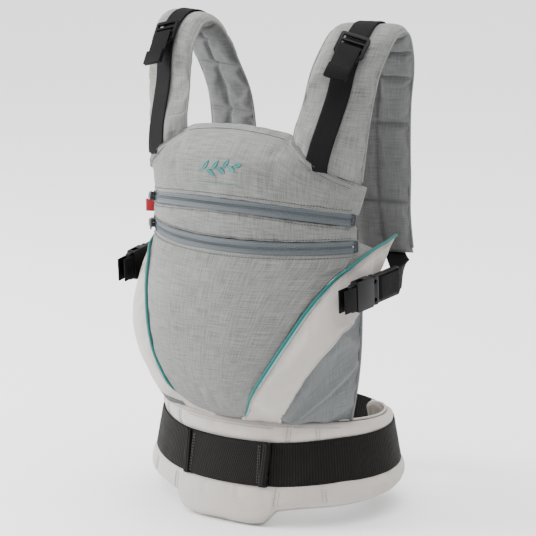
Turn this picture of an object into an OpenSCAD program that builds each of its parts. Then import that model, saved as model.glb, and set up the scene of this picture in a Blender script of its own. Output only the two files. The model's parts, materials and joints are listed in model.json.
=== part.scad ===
// Soft baby carrier, buckled up as it sits on a wearer.
// Millimetres, +Z up. The wearer stands inside the waist loop and faces -Y, where the child's pouch is.
// The origin is the centre of the waist loop, at the mid height of its webbing.

/* [Waist belt] */
// Half width of the waist loop over its webbing
belt_rx = 143; // [141:1:145]
// Half depth of the waist loop over its webbing
belt_ry = 112; // [110:1:114]
// Growth of the loop per millimetre downwards
belt_flare = 0.18; // [0.16:0.01:0.2]
// Width of the waist webbing
belt_web = 48; // [45:1:50]
// Thickness of the padded belt
belt_pad = 14; // [12:1:16]
// Angle from the front at which the padding ends
belt_end = 145; // [140:1:148]

/* [Pouch] */
// Horizontal radius of the main panel
panel_r = 158; // [155:1:162]
// Thickness of the padded panel
panel_pad = 6; // [4:0.5:7]
// Thickness of the light side bands
band_pad = 5; // [3:0.5:6]
// Radius of the coloured piping
piping_r = 1.6; // [1.2:0.1:2]

/* [Zips] */
// Height of the lower zip
zip_low_z = 240; // [238:1:242]
// Height of the upper zip at its middle
zip_up_z = 284; // [282:1:286]
// Drop of the upper zip from its middle to its ends
zip_up_drop = 17; // [15:1:19]
// Width of the zip tapes
tape_w = 14; // [12:1:16]

/* [Shoulder straps] */
// Width of the padded shoulder strap
strap_w = 72; // [68:1:76]
// Thickness of the strap over the shoulder
strap_pad = 15; // [12:1:17]
// Width of the strap webbing
strap_web = 25; // [25:1:25]
// Thickness of the webbing
web_t = 1.8; // [1.5:0.1:2]

/* [Chest strap] */
// Height of the chest strap
chest_z = 284; // [278:1:290]
// Width of the chest webbing
chest_web = 20; // [20:1:20]

/* [Hidden] */
$fn = 32;
gap = 0.3;
skin = 1.6;
grey = "#a9acab";
pale = "#dcd8d4";
teal = "#35a79c";
black = "#222224";
zip_grey = "#7f8d97";

rim_z = 47;
band_z = rim_z + 1;

// Side view of the panel's middle: [height, front]
profile = [[48, -101], [61, -124], [80, -144], [104, -153], [124, -155], [149, -152], [180, -144],
    [205, -133], [232, -119.5], [262, -119.5], [292, -119.5], [316, -124], [332, -119],
    [345, -103], [356, -87], [366, -78]];
// Half width of the panel where the piping bounds it: [height, half width]
piping_x = [[48, 14], [56, 29], [80, 49], [97, 60], [119, 73.5], [147, 88], [180, 103.5],
    [205, 117], [218, 127]];
// Where the piping runs on behind the panel, on the right
piping_tail = [[134, -25, 231], [135, 2, 235], [133, 30, 238]];
// Lower edge of the right side band
band_low = [[61, -90, 49], [72, -104, 57], [84, -114, 69], [106, -115, 105], [119, -108, 126],
    [129, -97, 141], [134, -84, 152], [138, -71, 159], [139, -58, 174]];
// Middle of the right shoulder strap, from the panel over the shoulder to its lower end
strap_path = [[101, -57, 329], [104, -57, 358], [107, -53, 391], [110, -46, 420], [114, -33, 444],
    [115, -12, 461], [114, 10, 459], [110, 28, 439], [105, 40, 413], [97, 50, 380],
    [94, 55, 344], [94, 57, 304], [96, 59, 260], [103, 62, 210]];
// Turn of the strap's width about Z, and how its first end slants along the panel's shoulder seam
strap_turn = [20, 14];
strap_slant = -0.69;
slant_end = 0.16;

panel_cy = profile[9][1] + panel_r;
panel_w = 131;
corner_x = 63;
corner_z = 356;
shoulder_x = 138;
shoulder_z = 302;
top_rise = 7;

// The upper zip is an arc in a plane that leans by zip_tilt, about zip_up_c with radius zip_up_r
zip_end_x = 132;
zip_end_y = panel_cy - sqrt(panel_r * panel_r - zip_end_x * zip_end_x);
zip_run = zip_end_y - profile[9][1];
zip_tilt = atan(zip_up_drop / zip_run);
zip_sagitta = zip_run / cos(zip_tilt);
zip_up_r = (zip_end_x * zip_end_x + zip_sagitta * zip_sagitta) / (2 * zip_sagitta);
zip_up_c = [0, profile[9][1] + zip_up_r * cos(zip_tilt), zip_up_z - zip_up_r * sin(zip_tilt)];
zip_low_c = [0, panel_cy, zip_low_z];
zip_half_angle = 54;
zip_park = 51.5;
coil_r = 1.4;

// Side buckle: its middle, the way the tongue leaves, and its outward face
side_buckle = [146, -50, 194];
side_axis = [0.1, 0.99, 0.06];
side_face = [0.99, -0.1, 0];
hip_lean = atan(belt_flare);
chest_y = 75.4;

// ---- curves ----

function unit(v) = v / norm(v);
function smooth(u) = let (c = min(1, max(0, u))) c * c * (3 - 2 * c);
function mix(a, b, u) = a + (b - a) * u;
function catmull(a, b, c, d, t) =
    0.5 * (2 * b + (c - a) * t + (2 * a - 5 * b + 4 * c - d) * t * t
        + (3 * b - a - 3 * c + d) * t * t * t);
// Point at share t of a list of points, on a smooth curve through them
function along(pts, t) =
    let (n = len(pts) - 1, s = min(n - 0.00001, max(0, t * n)), i = floor(s))
    catmull(pts[max(0, i - 1)], pts[i], pts[i + 1], pts[min(n, i + 2)], s - i);
function tangent(pts, t) = unit(along(pts, min(1, t + 0.01)) - along(pts, max(0, t - 0.01)));
function lies(table, x, i = 0) = (i >= len(table) - 2 || x < table[i + 1][0]) ? i : lies(table, x, i + 1);
function slope(table, i) =
    let (a = max(0, i - 1), b = min(len(table) - 1, i + 1))
    (table[b][1] - table[a][1]) / (table[b][0] - table[a][0]);
// Smooth curve through [x, y] pairs, at any x
function curve(table, x) =
    let (i = lies(table, x), h = table[i + 1][0] - table[i][0],
        u = min(1, max(0, (x - table[i][0]) / h)))
    table[i][1] * (2 * u * u * u - 3 * u * u + 1) + h * slope(table, i) * (u * u * u - 2 * u * u + u)
    + table[i + 1][1] * (3 * u * u - 2 * u * u * u) + h * slope(table, i + 1) * (u * u * u - u * u);

// ---- closed sheets ----

// A closed solid between two grids of points, each a list of rows
module slab(front, back) {
    rows = len(front);
    cols = len(front[0]);
    n = rows * cols;
    function id(i, j) = i * cols + j;
    quads = concat(
        [for (i = [0 : rows - 2], j = [0 : cols - 2])
            [id(i, j), id(i, j + 1), id(i + 1, j + 1), id(i + 1, j)]],
        [for (i = [0 : rows - 2], j = [0 : cols - 2])
            [n + id(i, j), n + id(i + 1, j), n + id(i + 1, j + 1), n + id(i, j + 1)]],
        [for (i = [0 : rows - 2])
            [id(i, 0), id(i + 1, 0), n + id(i + 1, 0), n + id(i, 0)]],
        [for (i = [0 : rows - 2])
            [id(i + 1, cols - 1), id(i, cols - 1), n + id(i, cols - 1), n + id(i + 1, cols - 1)]],
        [for (j = [0 : cols - 2])
            [id(0, j + 1), id(0, j), n + id(0, j), n + id(0, j + 1)]],
        [for (j = [0 : cols - 2])
            [id(rows - 1, j), id(rows - 1, j + 1), n + id(rows - 1, j + 1), n + id(rows - 1, j)]]);
    points = concat([for (r = front) each r], [for (r = back) each r]);
    polyhedron(points, [for (q = quads) each [[q[0], q[1], q[2]], [q[0], q[2], q[3]]]], 4);
}

// A round tube along a list of points
module tube(pts, r, sides = 8) {
    function side(i) = unit(cross(tangent_at(i), [0.2, 0.3, 1]));
    function tangent_at(i) = unit(pts[min(len(pts) - 1, i + 1)] - pts[max(0, i - 1)]);
    rings = [for (i = [0 : len(pts) - 1])
        let (a = side(i), b = cross(tangent_at(i), a))
        [for (k = [0 : sides - 1]) pts[i] + r * (a * cos(360 * k / sides) + b * sin(360 * k / sides))]];
    n = len(pts);
    polyhedron([for (r = rings) each r], concat(
        [for (i = [0 : n - 2], k = [0 : sides - 1])
            let (m = (k + 1) % sides)
            [i * sides + k, (i + 1) * sides + k, (i + 1) * sides + m, i * sides + m]],
        [[for (k = [0 : sides - 1]) k]],
        [[for (k = [sides - 1 : -1 : 0]) (n - 1) * sides + k]]), 4);
}

// Places children in a frame: x along the first vector, z along the part of the second square to it
module framed(origin, x, z) {
    a = unit(x);
    b = unit(cross(z, a));
    c = cross(a, b);
    multmatrix([[a[0], b[0], c[0], origin[0]], [a[1], b[1], c[1], origin[1]],
        [a[2], b[2], c[2], origin[2]], [0, 0, 0, 1]])
        children();
}

module left_side() mirror([1, 0, 0]) children();

// ---- waist belt ----

// Upper and lower edge of the padding at an angle from the front
pad_top = [[0, rim_z], [35, rim_z - 0.5], [65, rim_z - 3], [95, rim_z - 7], [125, 36], [belt_end, 29]];
pad_foot = [[0, -67], [19, -66], [26, -51], [60, -45], [90, -41], [120, -32], [belt_end, -19]];
web_fold = 21;
web_stop = 164;
// The left webbing ends just short of the tongue
web_stop_left = 161;
// From here to the tongue it isn't sewn to the belt
web_loose = 112;
steps_round = 44;
steps_up = 11;

function loop_point(a, z, out) =
    [(belt_rx - belt_flare * z + out) * sin(a), -(belt_ry - belt_flare * z + out) * cos(a), z];
// The pad stands proud of the webbing, dented under it and rounded off over a strip along its edges
pad_proud = 1.2;
pad_dent = 3.6;
pad_round = 5;
pad_edge = 9;
// How far the pad's outer face stands from the webbing's outer face: pressed in under it, round at its edges
function puff(z, top, foot, middle) =
    let (edge = min(top - z, z - foot), pressed = 1 - smooth((abs(z - middle) - belt_web / 2 - 6) / 7))
    pad_proud - pad_dent * pressed - pad_round * pow(max(0, 1 - edge / pad_edge), 2);
function pad_grid(depth, from = -belt_end, to = belt_end) =
    [for (i = [0 : steps_round])
        let (a = mix(from, to, i / steps_round), top = curve(pad_top, abs(a)),
            foot = curve(pad_foot, abs(a)))
        [for (j = [0 : steps_up])
            let (z = mix(foot, top, j / steps_up)) loop_point(a, z, puff(z, top, foot, web_z(a)) - depth)]];
// The webbing climbs a little from its front piece to the sides
web_climb = 5;
function web_z(a) = web_climb * smooth((abs(a) - web_fold) / 40);
function web_grid(from, to, half, out) =
    let (n = max(2, ceil(abs(to - from) / 6)))
    [for (i = [0 : n])
        let (a = mix(from, to, i / n), z = web_z(a))
        [loop_point(a, z - half, out), loop_point(a, z + half, out)]];

module belt_layer(near, far) slab(pad_grid(near), pad_grid(far));
module belt_web_run(from, to, out) {
    half = belt_web / 2;
    slab(web_grid(from, to, half, out), web_grid(from, to, half, out - web_t));
}

module belt_cover() color(pale) belt_layer(0, skin);
module belt_foam() color("#efe9d8") belt_layer(skin, belt_pad - skin);
module belt_lining() color("#a39a8c") belt_layer(belt_pad - skin, belt_pad);
module belt_webbing_centre() color(black) {
    belt_web_run(-web_fold, web_fold, 0);
    belt_web_run(-web_fold, web_fold, web_t + 0.2);
}
module belt_webbing_sides() color(black) {
    belt_web_run(-web_loose, -web_fold - 0.2, 0);
    belt_web_run(web_fold + 0.2, web_stop, 0);
}
// The loose run to the tongue, and the free end that comes back through its adjuster over it
module belt_webbing_end() color(black) {
    belt_web_run(-web_stop_left, -web_loose - 0.2, 0);
    belt_web_run(4 - web_stop_left, -web_loose, web_t + 0.4);
}

// ---- side release buckles ----
// Local frame: the socket's mouth is at x = 0 and the tongue leaves along +x. The face is +z.

wall = 2;
head_run = 8;
throat_slope = 0.085;
prong_turn = 6;
pin_r = 1.6;
slot_run = 4.4;

// A flat outline with rounded corners
module rounded(x0, x1, half, r) {
    corners = [[x1 - r, half - r, 0], [x0 + r, half - r, 90], [x0 + r, r - half, 180], [x1 - r, r - half, 270]];
    polygon([for (c = corners, k = [0 : 4])
        [c[0] + r * cos(c[2] + 22.5 * k), c[1] + r * sin(c[2] + 22.5 * k)]]);
}
module plate(x0, x1, half, r, z0, z1) translate([0, 0, z0]) linear_extrude(z1 - z0) rounded(x0, x1, half, r);
module block(x0, x1, y0, y1, z0, z1) translate([x0, y0, z0]) cube([x1 - x0, y1 - y0, z1 - z0]);

module socket(web, run, thick, bar = true) {
    half = web / 2 + 4;
    deep = web / 2 + 2.6;
    mouth = deep - throat_slope * (run - 15);
    inner = thick / 2 - wall;
    difference() {
        union() {
            plate(-run, 0, half, 3, -thick / 2, thick / 2);
            plate(-run - 8, -run + 5, half - 1.5, 2.5, -2.4, 2.4);
        }
        translate([0, 0, -inner]) linear_extrude(2 * inner)
            polygon([[1, mouth], [15 - run, deep], [wall - run, deep],
                [wall - run, -deep], [15 - run, -deep], [1, -mouth]]);
        for (y = [-half - 1, web / 2 - 1])
            block(3.5 - run, 15 - run, y, y + 6, -inner, inner);
        if (bar) block(-run - slot_run - 1, -run - 1, -web / 2 - 0.6, web / 2 + 0.6, -3, 3);
    }
}

// The prongs turn about pins at prong_pin in the tongue's base
function prong_pin(web) = [3.5, web / 2 - 2.5];
module tongue(web, run, thick, reach, rail = 0) {
    core = thick / 2 - wall - 0.4;
    half = web / 2 + 3.4;
    pin = prong_pin(web);
    difference() {
        union() {
            plate(0.5, 9, half, 2.5, 0.6 - thick / 2, thick / 2 - 0.6);
            block(7 - run, 2, -2.5, 2.5, -core, core - rail);
            plate(6, 9 + reach, half, 3, -2.2, 2.2);
        }
        for (s = [-1, 1]) {
            translate([pin[0], s * pin[1], -thick]) cylinder(r = pin_r + gap, h = 2 * thick);
            block(0, pin[0], s * pin[1] - 2.4, s * pin[1] + 2.4, -thick, thick);
        }
        for (x = [11, 9 + reach - 3 - slot_run])
            block(x, x + slot_run, -web / 2 - 0.6, web / 2 + 0.6, -3, 3);
    }
}
// The prong on the +y side
module prong(web, run, thick) {
    core = thick / 2 - wall - 0.4;
    pin = prong_pin(web);
    translate([pin[0], pin[1], -core]) cylinder(r = pin_r, h = 2 * core);
    translate([0, 0, -core]) linear_extrude(2 * core)
        polygon([[pin[0], pin[1] - 1.2], [pin[0], pin[1] + 1.2], [5 + head_run - run, web / 2 - 1],
            [4.5 + head_run - run, web / 2 + 1.8], [7.5 - run, web / 2 + 1.2], [5 - run, web / 2 - 1],
            [5.5 - run, web / 2 - 3], [5 + head_run - run, web / 2 - 3.6]]);
}

// Hip buckle
hip_run = 40;
hip_thick = 15;
hip_reach = 20;
hip_at = [-10, belt_ry - 4, web_climb];
hip_normal = [0, cos(hip_lean), sin(hip_lean)];
button_r = 7;
button_travel = 1.2;
module at_hip() framed(hip_at, [-1, 0, 0], hip_normal) children();

module hip_socket() color(black) at_hip() difference() {
    socket(belt_web, hip_run, hip_thick);
    translate([-hip_run / 2, 0, 0]) cylinder(r = button_r + gap, h = hip_thick);
}
module hip_tongue() color(black) at_hip() tongue(belt_web, hip_run, hip_thick, hip_reach, 2.4);
module hip_prongs_upper() color(black) at_hip() prong(belt_web, hip_run, hip_thick);
module hip_prongs_lower() color(black) at_hip() mirror([0, 1, 0]) prong(belt_web, hip_run, hip_thick);
module hip_button() color("#3a3a3d") at_hip() translate([-hip_run / 2, 0, hip_thick / 2 - wall])
    cylinder(r = button_r, h = wall + button_travel);

// Side buckles
side_run = 30;
side_thick = 10;
side_reach = 42;
module at_side() framed(side_buckle, side_axis, side_face) children();
module side_socket() color(black) at_side() socket(strap_web, side_run, side_thick);
module side_tongue() color(black) at_side() tongue(strap_web, side_run, side_thick, side_reach);
module side_prong_upper() color(black) at_side() prong(strap_web, side_run, side_thick);
module side_prong_lower() color(black) at_side() mirror([0, 1, 0]) prong(strap_web, side_run, side_thick);

module side_socket_right() side_socket();
module side_socket_left() left_side() side_socket();
module side_tongue_right() side_tongue();
module side_tongue_left() left_side() side_tongue();
module side_prong_right_upper() side_prong_upper();
module side_prong_left_upper() left_side() side_prong_upper();
module side_prong_right_lower() side_prong_lower();
module side_prong_left_lower() left_side() side_prong_lower();

// Webbing folded round the socket's bar and sewn to the band in front of it
module side_anchor() color(black) at_side() {
    bar = -side_run - slot_run - 3.1;
    half = strap_web / 2;
    for (z = [-3 - web_t, 3]) block(bar - 14, bar + 4, -half, half, z, z + web_t);
    block(bar + 4, bar + 4 + web_t, -half, half, -3 - web_t, 3 + web_t);
}
module side_anchor_right() side_anchor();
module side_anchor_left() left_side() side_anchor();

// ---- pouch ----

function front(x, z) = curve(profile, z) + panel_r - sqrt(panel_r * panel_r - x * x);
function half_width(z) =
    z < 218 ? curve(piping_x, z) : mix(127, panel_w, smooth((z - 218) / 22))
        + (shoulder_x - panel_w) * smooth((z - 250) / 52);
// Point of the panel's face at a share u of its half width
function panel_point(u, z, depth) =
    let (x = u * half_width(z), lean = asin(x / panel_r))
    [x - depth * sin(lean), front(x, z) + depth * cos(lean), z];
panel_cols = 20;

function zip_gap(x, middle, drop) = middle - drop * pow(x / zip_end_x, 2);
function patch(z_from, z_to, rows, depth) =
    [for (i = [0 : rows])
        [for (j = [-panel_cols / 2 : panel_cols / 2])
            let (u = 2 * j / panel_cols, x = u * panel_w,
                z = mix(z_from(x), z_to(x), i / rows))
            panel_point(u, z, depth)]];
module panel_patch(z_from, z_to, rows, near, far)
    slab(patch(z_from, z_to, rows, far), patch(z_from, z_to, rows, near));

half_tape = tape_w / 2;
// Top edge of the panel: nearly flat in the middle, then down the slanted shoulder seams
function crown(x) =
    abs(x) < corner_x ? corner_z + top_rise * (1 - pow(x / corner_x, 2))
        : mix(corner_z, shoulder_z, (abs(x) - corner_x) / (shoulder_x - corner_x));
// Above shoulder_z the face is as wide as the crown allows, so it is laid out by x alone
function top_point(j, v, depth) =
    let (x = j * 2 * mix(panel_w + 1, shoulder_x, v) / panel_cols, low = zip_gap(x, zip_up_z, zip_up_drop) + half_tape,
        z = mix(low, crown(x), v), lean = asin(x / panel_r))
    [x - depth * sin(lean), front(x, z) + depth * cos(lean), z];
function top_patch(depth, rows = 6) =
    [for (i = [0 : rows]) [for (j = [-panel_cols / 2 : panel_cols / 2]) top_point(j, i / rows, depth)]];

module panel_main() color(grey)
    panel_patch(function(x) band_z, function(x) zip_low_z - half_tape, 16, 0, panel_pad);
module panel_strip() color(grey)
    panel_patch(function(x) zip_low_z + half_tape,
        function(x) zip_gap(x, zip_up_z, zip_up_drop) - half_tape, 3, 0, panel_pad);
module panel_top() color(grey) slab(top_patch(panel_pad), top_patch(0));
module panel_lining() color("#b9b4ab") {
    near = panel_pad + gap;
    panel_patch(function(x) band_z, function(x) zip_low_z + half_tape, 16, near, near + skin);
    panel_patch(function(x) zip_low_z + half_tape,
        function(x) zip_gap(x, zip_up_z, zip_up_drop) + half_tape, 3, near, near + skin);
    slab(top_patch(near + skin), top_patch(near));
}

// ---- zips ----

module at_zip_low() translate(zip_low_c) children();
module at_zip_up() translate(zip_up_c) rotate([-zip_tilt, 0, 0]) children();
module arc(half_angle) rotate([0, 0, -90 - half_angle]) rotate_extrude(angle = 2 * half_angle) children();
tape_sink = 0.5;
tape_t = 2;
coil_out = 1.2;

module tape(r, half_angle) color(zip_grey) arc(half_angle)
    translate([r - tape_sink - tape_t, 0.1 - half_tape]) square([tape_t, tape_w - 0.2]);
module coil(r) {
    color("#5d6a74") arc(zip_half_angle) translate([r + coil_out, 0]) circle(coil_r);
    color(black) for (s = [-1, 1]) rotate([0, 0, s * (zip_half_angle + 1)])
        block(-2, 0.6, -r - 2.4, -r, 0.5 - half_tape, half_tape - 0.5);
}
slider_out = 4.6;
module slider(r) color("#2c2f33") rotate([0, 0, -zip_park]) difference() {
    union() {
        block(-5, 5, -r - slider_out, -r - 0.1, -4.5, 4.5);
        block(-2.5, 2.5, -r - slider_out - 2.6, -r - slider_out, -3, 3);
    }
    rotate_extrude() translate([r + coil_out, 0]) circle(coil_r + gap);
    translate([0, -r - slider_out - 1.2, -5]) cylinder(r = 1, h = 10);
}
pull_run = 17;
// The pull hangs on a pin through the slider's bridge and lies along the zip
module pull(r) color("#2c2f33") rotate([0, 0, -zip_park]) translate([0, -r - slider_out - 1.2, 0]) {
    translate([0, 0, -4.2]) cylinder(r = 0.9, h = 8.4);
    for (z = [-4.6, 3.3]) block(-0.7, 4.6, -0.9, 0.9, z, z + 1.3);
    block(3.4, pull_run, -0.9, 0.9, -4.6, 4.6);
}
module zip_tape_lower() at_zip_low() tape(panel_r, 56);
module zip_tape_upper() at_zip_up() tape(zip_up_r, 56);
module zip_coil_lower() at_zip_low() coil(panel_r);
module zip_coil_upper() at_zip_up() coil(zip_up_r);
module zip_slider_lower() at_zip_low() slider(panel_r);
module zip_slider_upper() at_zip_up() slider(zip_up_r);
module zip_pull_lower() at_zip_low() pull(panel_r);
module zip_pull_upper() at_zip_up() pull(zip_up_r);

// Folded tab sewn into the panel's left edge between the zips
module side_label() color("#c8202f")
    framed(panel_point(-1, 257, 1), [-0.9, -0.35, 0], [0.35, -0.9, 0]) block(-1, 11, -7, 7, 0, 1.6);

// Embroidered sprig in the middle of the upper panel
sprig_z = 326;
function cloth_point(x, z, out) = [x, front(x, z) - out, z];
module leaf(x, z, turn, run = 15, wide = 7) {
    outline = function(s, v, out) let (along_leaf = s * run, off = v * wide / 2 * sin(180 * min(0.96, max(0.04, s))))
        cloth_point(x + along_leaf * cos(turn) - off * sin(turn), z + along_leaf * sin(turn) + off * cos(turn), out);
    slab([for (s = [0 : 0.2 : 1.01]) [for (v = [-1, 1]) outline(s, v, 0.9)]],
        [for (s = [0 : 0.2 : 1.01]) [for (v = [-1, 1]) outline(s, v, 0.1)]]);
}
module motif() color(teal) {
    tube([for (x = [-26 : 6.5 : 26]) cloth_point(x, sprig_z, 0.6)], 0.5, 6);
    for (k = [-1 : 1], side = [-1, 1])
        leaf(15 * k - 4 + 2 * side, sprig_z + 2.2 * side, 55 * side, 14 - 3 * abs(k));
}

// ---- bands, piping and gussets ----

piping_line = concat([for (p = piping_x) [p[1], front(p[1], p[0]), p[0]]], piping_tail);
band_cols = 6;
band_rows = 26;
// The band's face between the piping and its lower edge, bulging a little outwards
function band_point(t, v, depth) =
    let (a = along(piping_line, t), b = along(band_low, t), across = b - a,
        face = unit(cross(across, tangent(piping_line, t))),
        out = face[0] - face[1] > 0 ? face : -face)
    a + across * v + out * (4 * sin(180 * v) * smooth(5 * t) - depth);
function band_grid(depth) =
    [for (i = [0 : band_rows]) [for (j = [0 : band_cols]) band_point(i / band_rows, j / band_cols, depth)]];
module band() color(pale) slab(band_grid(band_pad), band_grid(0));
module piping() color(teal)
    tube([for (i = [0 : 34]) along(piping_line, i / 34) + [0.3, -1.6, 0.5]], piping_r);

// It follows the top of the belt, which drops towards the sides
gusset_foot = [[61, -88, band_z], [80, -76, band_z - 0.6], [100, -60, band_z - 1.8], [118, -38, band_z - 3.2]];
gusset_rows = 14;
gusset_bulge = 5;
function gusset_point(t, v, depth) =
    let (a = along(gusset_foot, t), b = along(band_low, t) - [1, 0, 1],
        out = unit([0.6 + 0.4 * t, -0.7 + 0.5 * t, 0]))
    a + (b - a) * v + out * (gusset_bulge * sin(180 * v) * smooth(3 * t) - depth);
function gusset_grid(depth) =
    [for (i = [0 : gusset_rows]) [for (j = [0 : 6]) gusset_point(0.03 + 0.97 * i / gusset_rows, j / 6, depth)]];
module gusset() color("#8f9899") slab(gusset_grid(1), gusset_grid(band_pad));

module band_right() band();
module band_left() left_side() band();
module piping_right() piping();
module piping_left() left_side() piping();
module gusset_right() gusset();
module gusset_left() left_side() gusset();

// ---- shoulder straps ----

strap_rows = 30;
function strap_width_way(t) =
    let (turn = mix(strap_turn[0], strap_turn[1], smooth(t)),
        slant = strap_slant * (1 - smooth(t / slant_end)))
    unit([cos(turn), sin(turn), slant]);
function strap_out(t) = unit(cross(strap_width_way(t), tangent(strap_path, t)));
function strap_half(t) = strap_w / 2 + 6 * (1 - smooth(t / 0.12)) - 5 * smooth((t - 0.85) / 0.15);
function strap_thick(t) = mix(8, strap_pad, smooth(t / 0.3)) - 4 * smooth((t - 0.5) / 0.5);
// The strap's first end is bent round to lie along the panel's slanted shoulder seam
seam_sink = 3;
bend_end = 0.2;
function flat_strap(t, v) = along(strap_path, t) + strap_width_way(t) * v * strap_half(t);
function seam_point(v) =
    let (x = flat_strap(0, v)[0], z = crown(x) - seam_sink / 4, lean = asin(x / panel_r))
    [x - seam_sink * sin(lean), front(x, z) + seam_sink * cos(lean), z];
function foot_bend(t, v) = t > bend_end ? [0, 0, 0]
    : (1 - smooth(t / bend_end)) * (seam_point(v) - flat_strap(0, v));
// Point at a share v of the half width, and out from the strap's middle plane, in half thicknesses
function strap_point(t, v, share, out = 0) =
    let (edge = sqrt(max(0.06, 1 - pow(abs(v), 6))))
    flat_strap(t, v) + foot_bend(t, v)
        + strap_out(t) * (share * edge * strap_thick(t) / 2 + out);
function strap_grid(share, out = 0) =
    [for (i = [0 : strap_rows])
        [for (v = [-1, -0.9, -0.6, -0.3, 0, 0.3, 0.6, 0.9, 1]) strap_point(0.012 + 0.988 * i / strap_rows, v, share, out)]];
module strap_cover() color(grey) slab(strap_grid(1, -skin), strap_grid(1));
module strap_foam() color("#efe9d8") slab(strap_grid(-1, skin), strap_grid(1, -skin));
module strap_lining() color("#b4b6b4") slab(strap_grid(-1), strap_grid(-1, skin));
module strap_cover_right() strap_cover();
module strap_cover_left() left_side() strap_cover();
module strap_foam_right() strap_foam();
module strap_foam_left() left_side() strap_foam();
module strap_lining_right() strap_lining();
module strap_lining_left() left_side() strap_lining();

// Webbing laid on the outer face of the strap, from share t0 to t1 of its length
function laid(t0, t1, out) =
    [for (i = [0 : 10])
        let (t = mix(t0, t1, i / 10), w = strap_width_way(max(t, slant_end)), mid = strap_point(t, 0, 1, out))
        [mid - w * strap_web / 2, mid + w * strap_web / 2]];
lock_t = 0.305;
web_lift = 1.4;
module lifter_webbing() color(black) {
    slab(laid(0.02, lock_t - 0.012, web_lift), laid(0.02, lock_t - 0.012, web_lift + web_t));
    slab(laid(lock_t + 0.03, 0.56, web_lift), laid(lock_t + 0.03, 0.56, web_lift + web_t));
}
lock_mid = strap_point(lock_t, 0, 1, web_lift + 4.5);
lock_run = 26;
lock_half = strap_web / 2 + 4;
// The webbing turns round this bar at the lock's lower end, so the lock tilts about it
lock_bar_x = 11.4;
lock_bar_r = 1.8;
module at_lock() framed(lock_mid, tangent(strap_path, lock_t), strap_out(lock_t)) children();
module ladder_lock() color(black) at_lock() difference() {
    union() {
        plate(-lock_run / 2, lock_run / 2, lock_half, 3, -1.5, 2);
        plate(-lock_run / 2 - 5, -lock_run / 2 + 4, lock_half - 3, 2.5, 0, 2.6);
        translate([lock_bar_x, 0, 0]) rotate([90, 0, 0])
            cylinder(r = lock_bar_r, h = 2 * lock_half - 6, center = true);
    }
    for (x = [-8.5, -1.5, 5])
        block(x, x + slot_run, -strap_web / 2 - 0.6, strap_web / 2 + 0.6, -3, 4);
}
// Free end of the webbing: out over the lock's middle bar, then hanging with its end folded and sewn
tail_run = 44;
module lifter_tail() color(black) at_lock() {
    half = strap_web / 2;
    block(-tail_run, -2, -half, half, 3.2, 3.2 + web_t);
    block(-tail_run, -tail_run + 16, -half, half, 3.2 + web_t, 3.2 + 2.6 * web_t);
}
module lifter_webbing_right() lifter_webbing();
module lifter_webbing_left() left_side() lifter_webbing();
module ladder_lock_right() ladder_lock();
module ladder_lock_left() left_side() ladder_lock();
module lifter_tail_right() lifter_tail();
module lifter_tail_left() left_side() lifter_tail();

// Webbing from the strap's lower end to the tongue's adjuster
side_bar = side_buckle + (9 + side_reach + 0.8) * unit(side_axis);
strap_foot = strap_point(1, 0.1, 0, 0);
function end_grid(out) =
    [for (i = [0 : 10])
        let (u = i / 10, a = strap_foot + [4, 2, 6], b = side_bar,
            p = mix(a, b, u) + [9 * sin(180 * u), 6 * sin(180 * u), -6 * sin(180 * u)],
            w = unit(mix([0.93, 0.2, -0.12], [0, -0.06, 1], smooth(u))),
            n = unit(cross(unit(b - a), w)))
        [p - w * strap_web / 2 + n * out, p + w * strap_web / 2 + n * out]];
module strap_end() color(black) slab(end_grid(web_t / 2), end_grid(-web_t / 2));
module strap_end_right() strap_end();
module strap_end_left() left_side() strap_end();

// ---- chest strap ----

chest_run = 24;
chest_thick = 9;
chest_reach = 14;
chest_rail_x = 94;
chest_at_x = -4;
module at_chest() framed([chest_at_x, chest_y, chest_z], [-1, 0, 0], [0, 1, 0]) children();
module chest_socket() color(black) at_chest() socket(chest_web, chest_run, chest_thick);
module chest_tongue() color(black) at_chest() {
    tongue(chest_web, chest_run, chest_thick, chest_reach);
    for (s = [-1, 1]) scale([1, s, 1]) prong(chest_web, chest_run, chest_thick);
}
chest_half = chest_web / 2;
module chest_run_of(x0, x1) color(black)
    block(x0, x1, chest_y - web_t / 2, chest_y + web_t / 2, chest_z - chest_half, chest_z + chest_half);
module chest_webbing_right() chest_run_of(chest_at_x + chest_run + 8, chest_rail_x + 8);
module chest_webbing_left() chest_run_of(-chest_rail_x - 8, chest_at_x - 9 - chest_reach);
module chest_clips() color(black) for (s = [-1, 1]) {
    x = s * chest_rail_x;
    block(x - 10, x + 10, chest_y - 5.6, chest_y - 1.3, chest_z - chest_half - 3, chest_z + chest_half + 3);
}

belt_cover();
belt_foam();
belt_lining();
belt_webbing_centre();
belt_webbing_sides();
belt_webbing_end();
hip_socket();
hip_tongue();
hip_prongs_upper();
hip_prongs_lower();
hip_button();
panel_main();
panel_strip();
panel_top();
panel_lining();
zip_tape_lower();
zip_tape_upper();
zip_coil_lower();
zip_coil_upper();
zip_slider_lower();
zip_slider_upper();
zip_pull_lower();
zip_pull_upper();
side_label();
motif();
band_left();
band_right();
piping_left();
piping_right();
gusset_left();
gusset_right();
strap_cover_left();
strap_cover_right();
strap_foam_left();
strap_foam_right();
strap_lining_left();
strap_lining_right();
lifter_webbing_left();
lifter_webbing_right();
lifter_tail_left();
lifter_tail_right();
ladder_lock_left();
ladder_lock_right();
side_anchor_left();
side_anchor_right();
side_socket_left();
side_socket_right();
side_tongue_left();
side_tongue_right();
side_prong_left_upper();
side_prong_left_lower();
side_prong_right_upper();
side_prong_right_lower();
strap_end_left();
strap_end_right();
chest_webbing_left();
chest_webbing_right();
chest_clips();
chest_socket();
chest_tongue();
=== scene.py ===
"""Soft baby carrier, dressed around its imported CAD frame. Lengths are millimetres until mesh()."""
import json
import math

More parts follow.
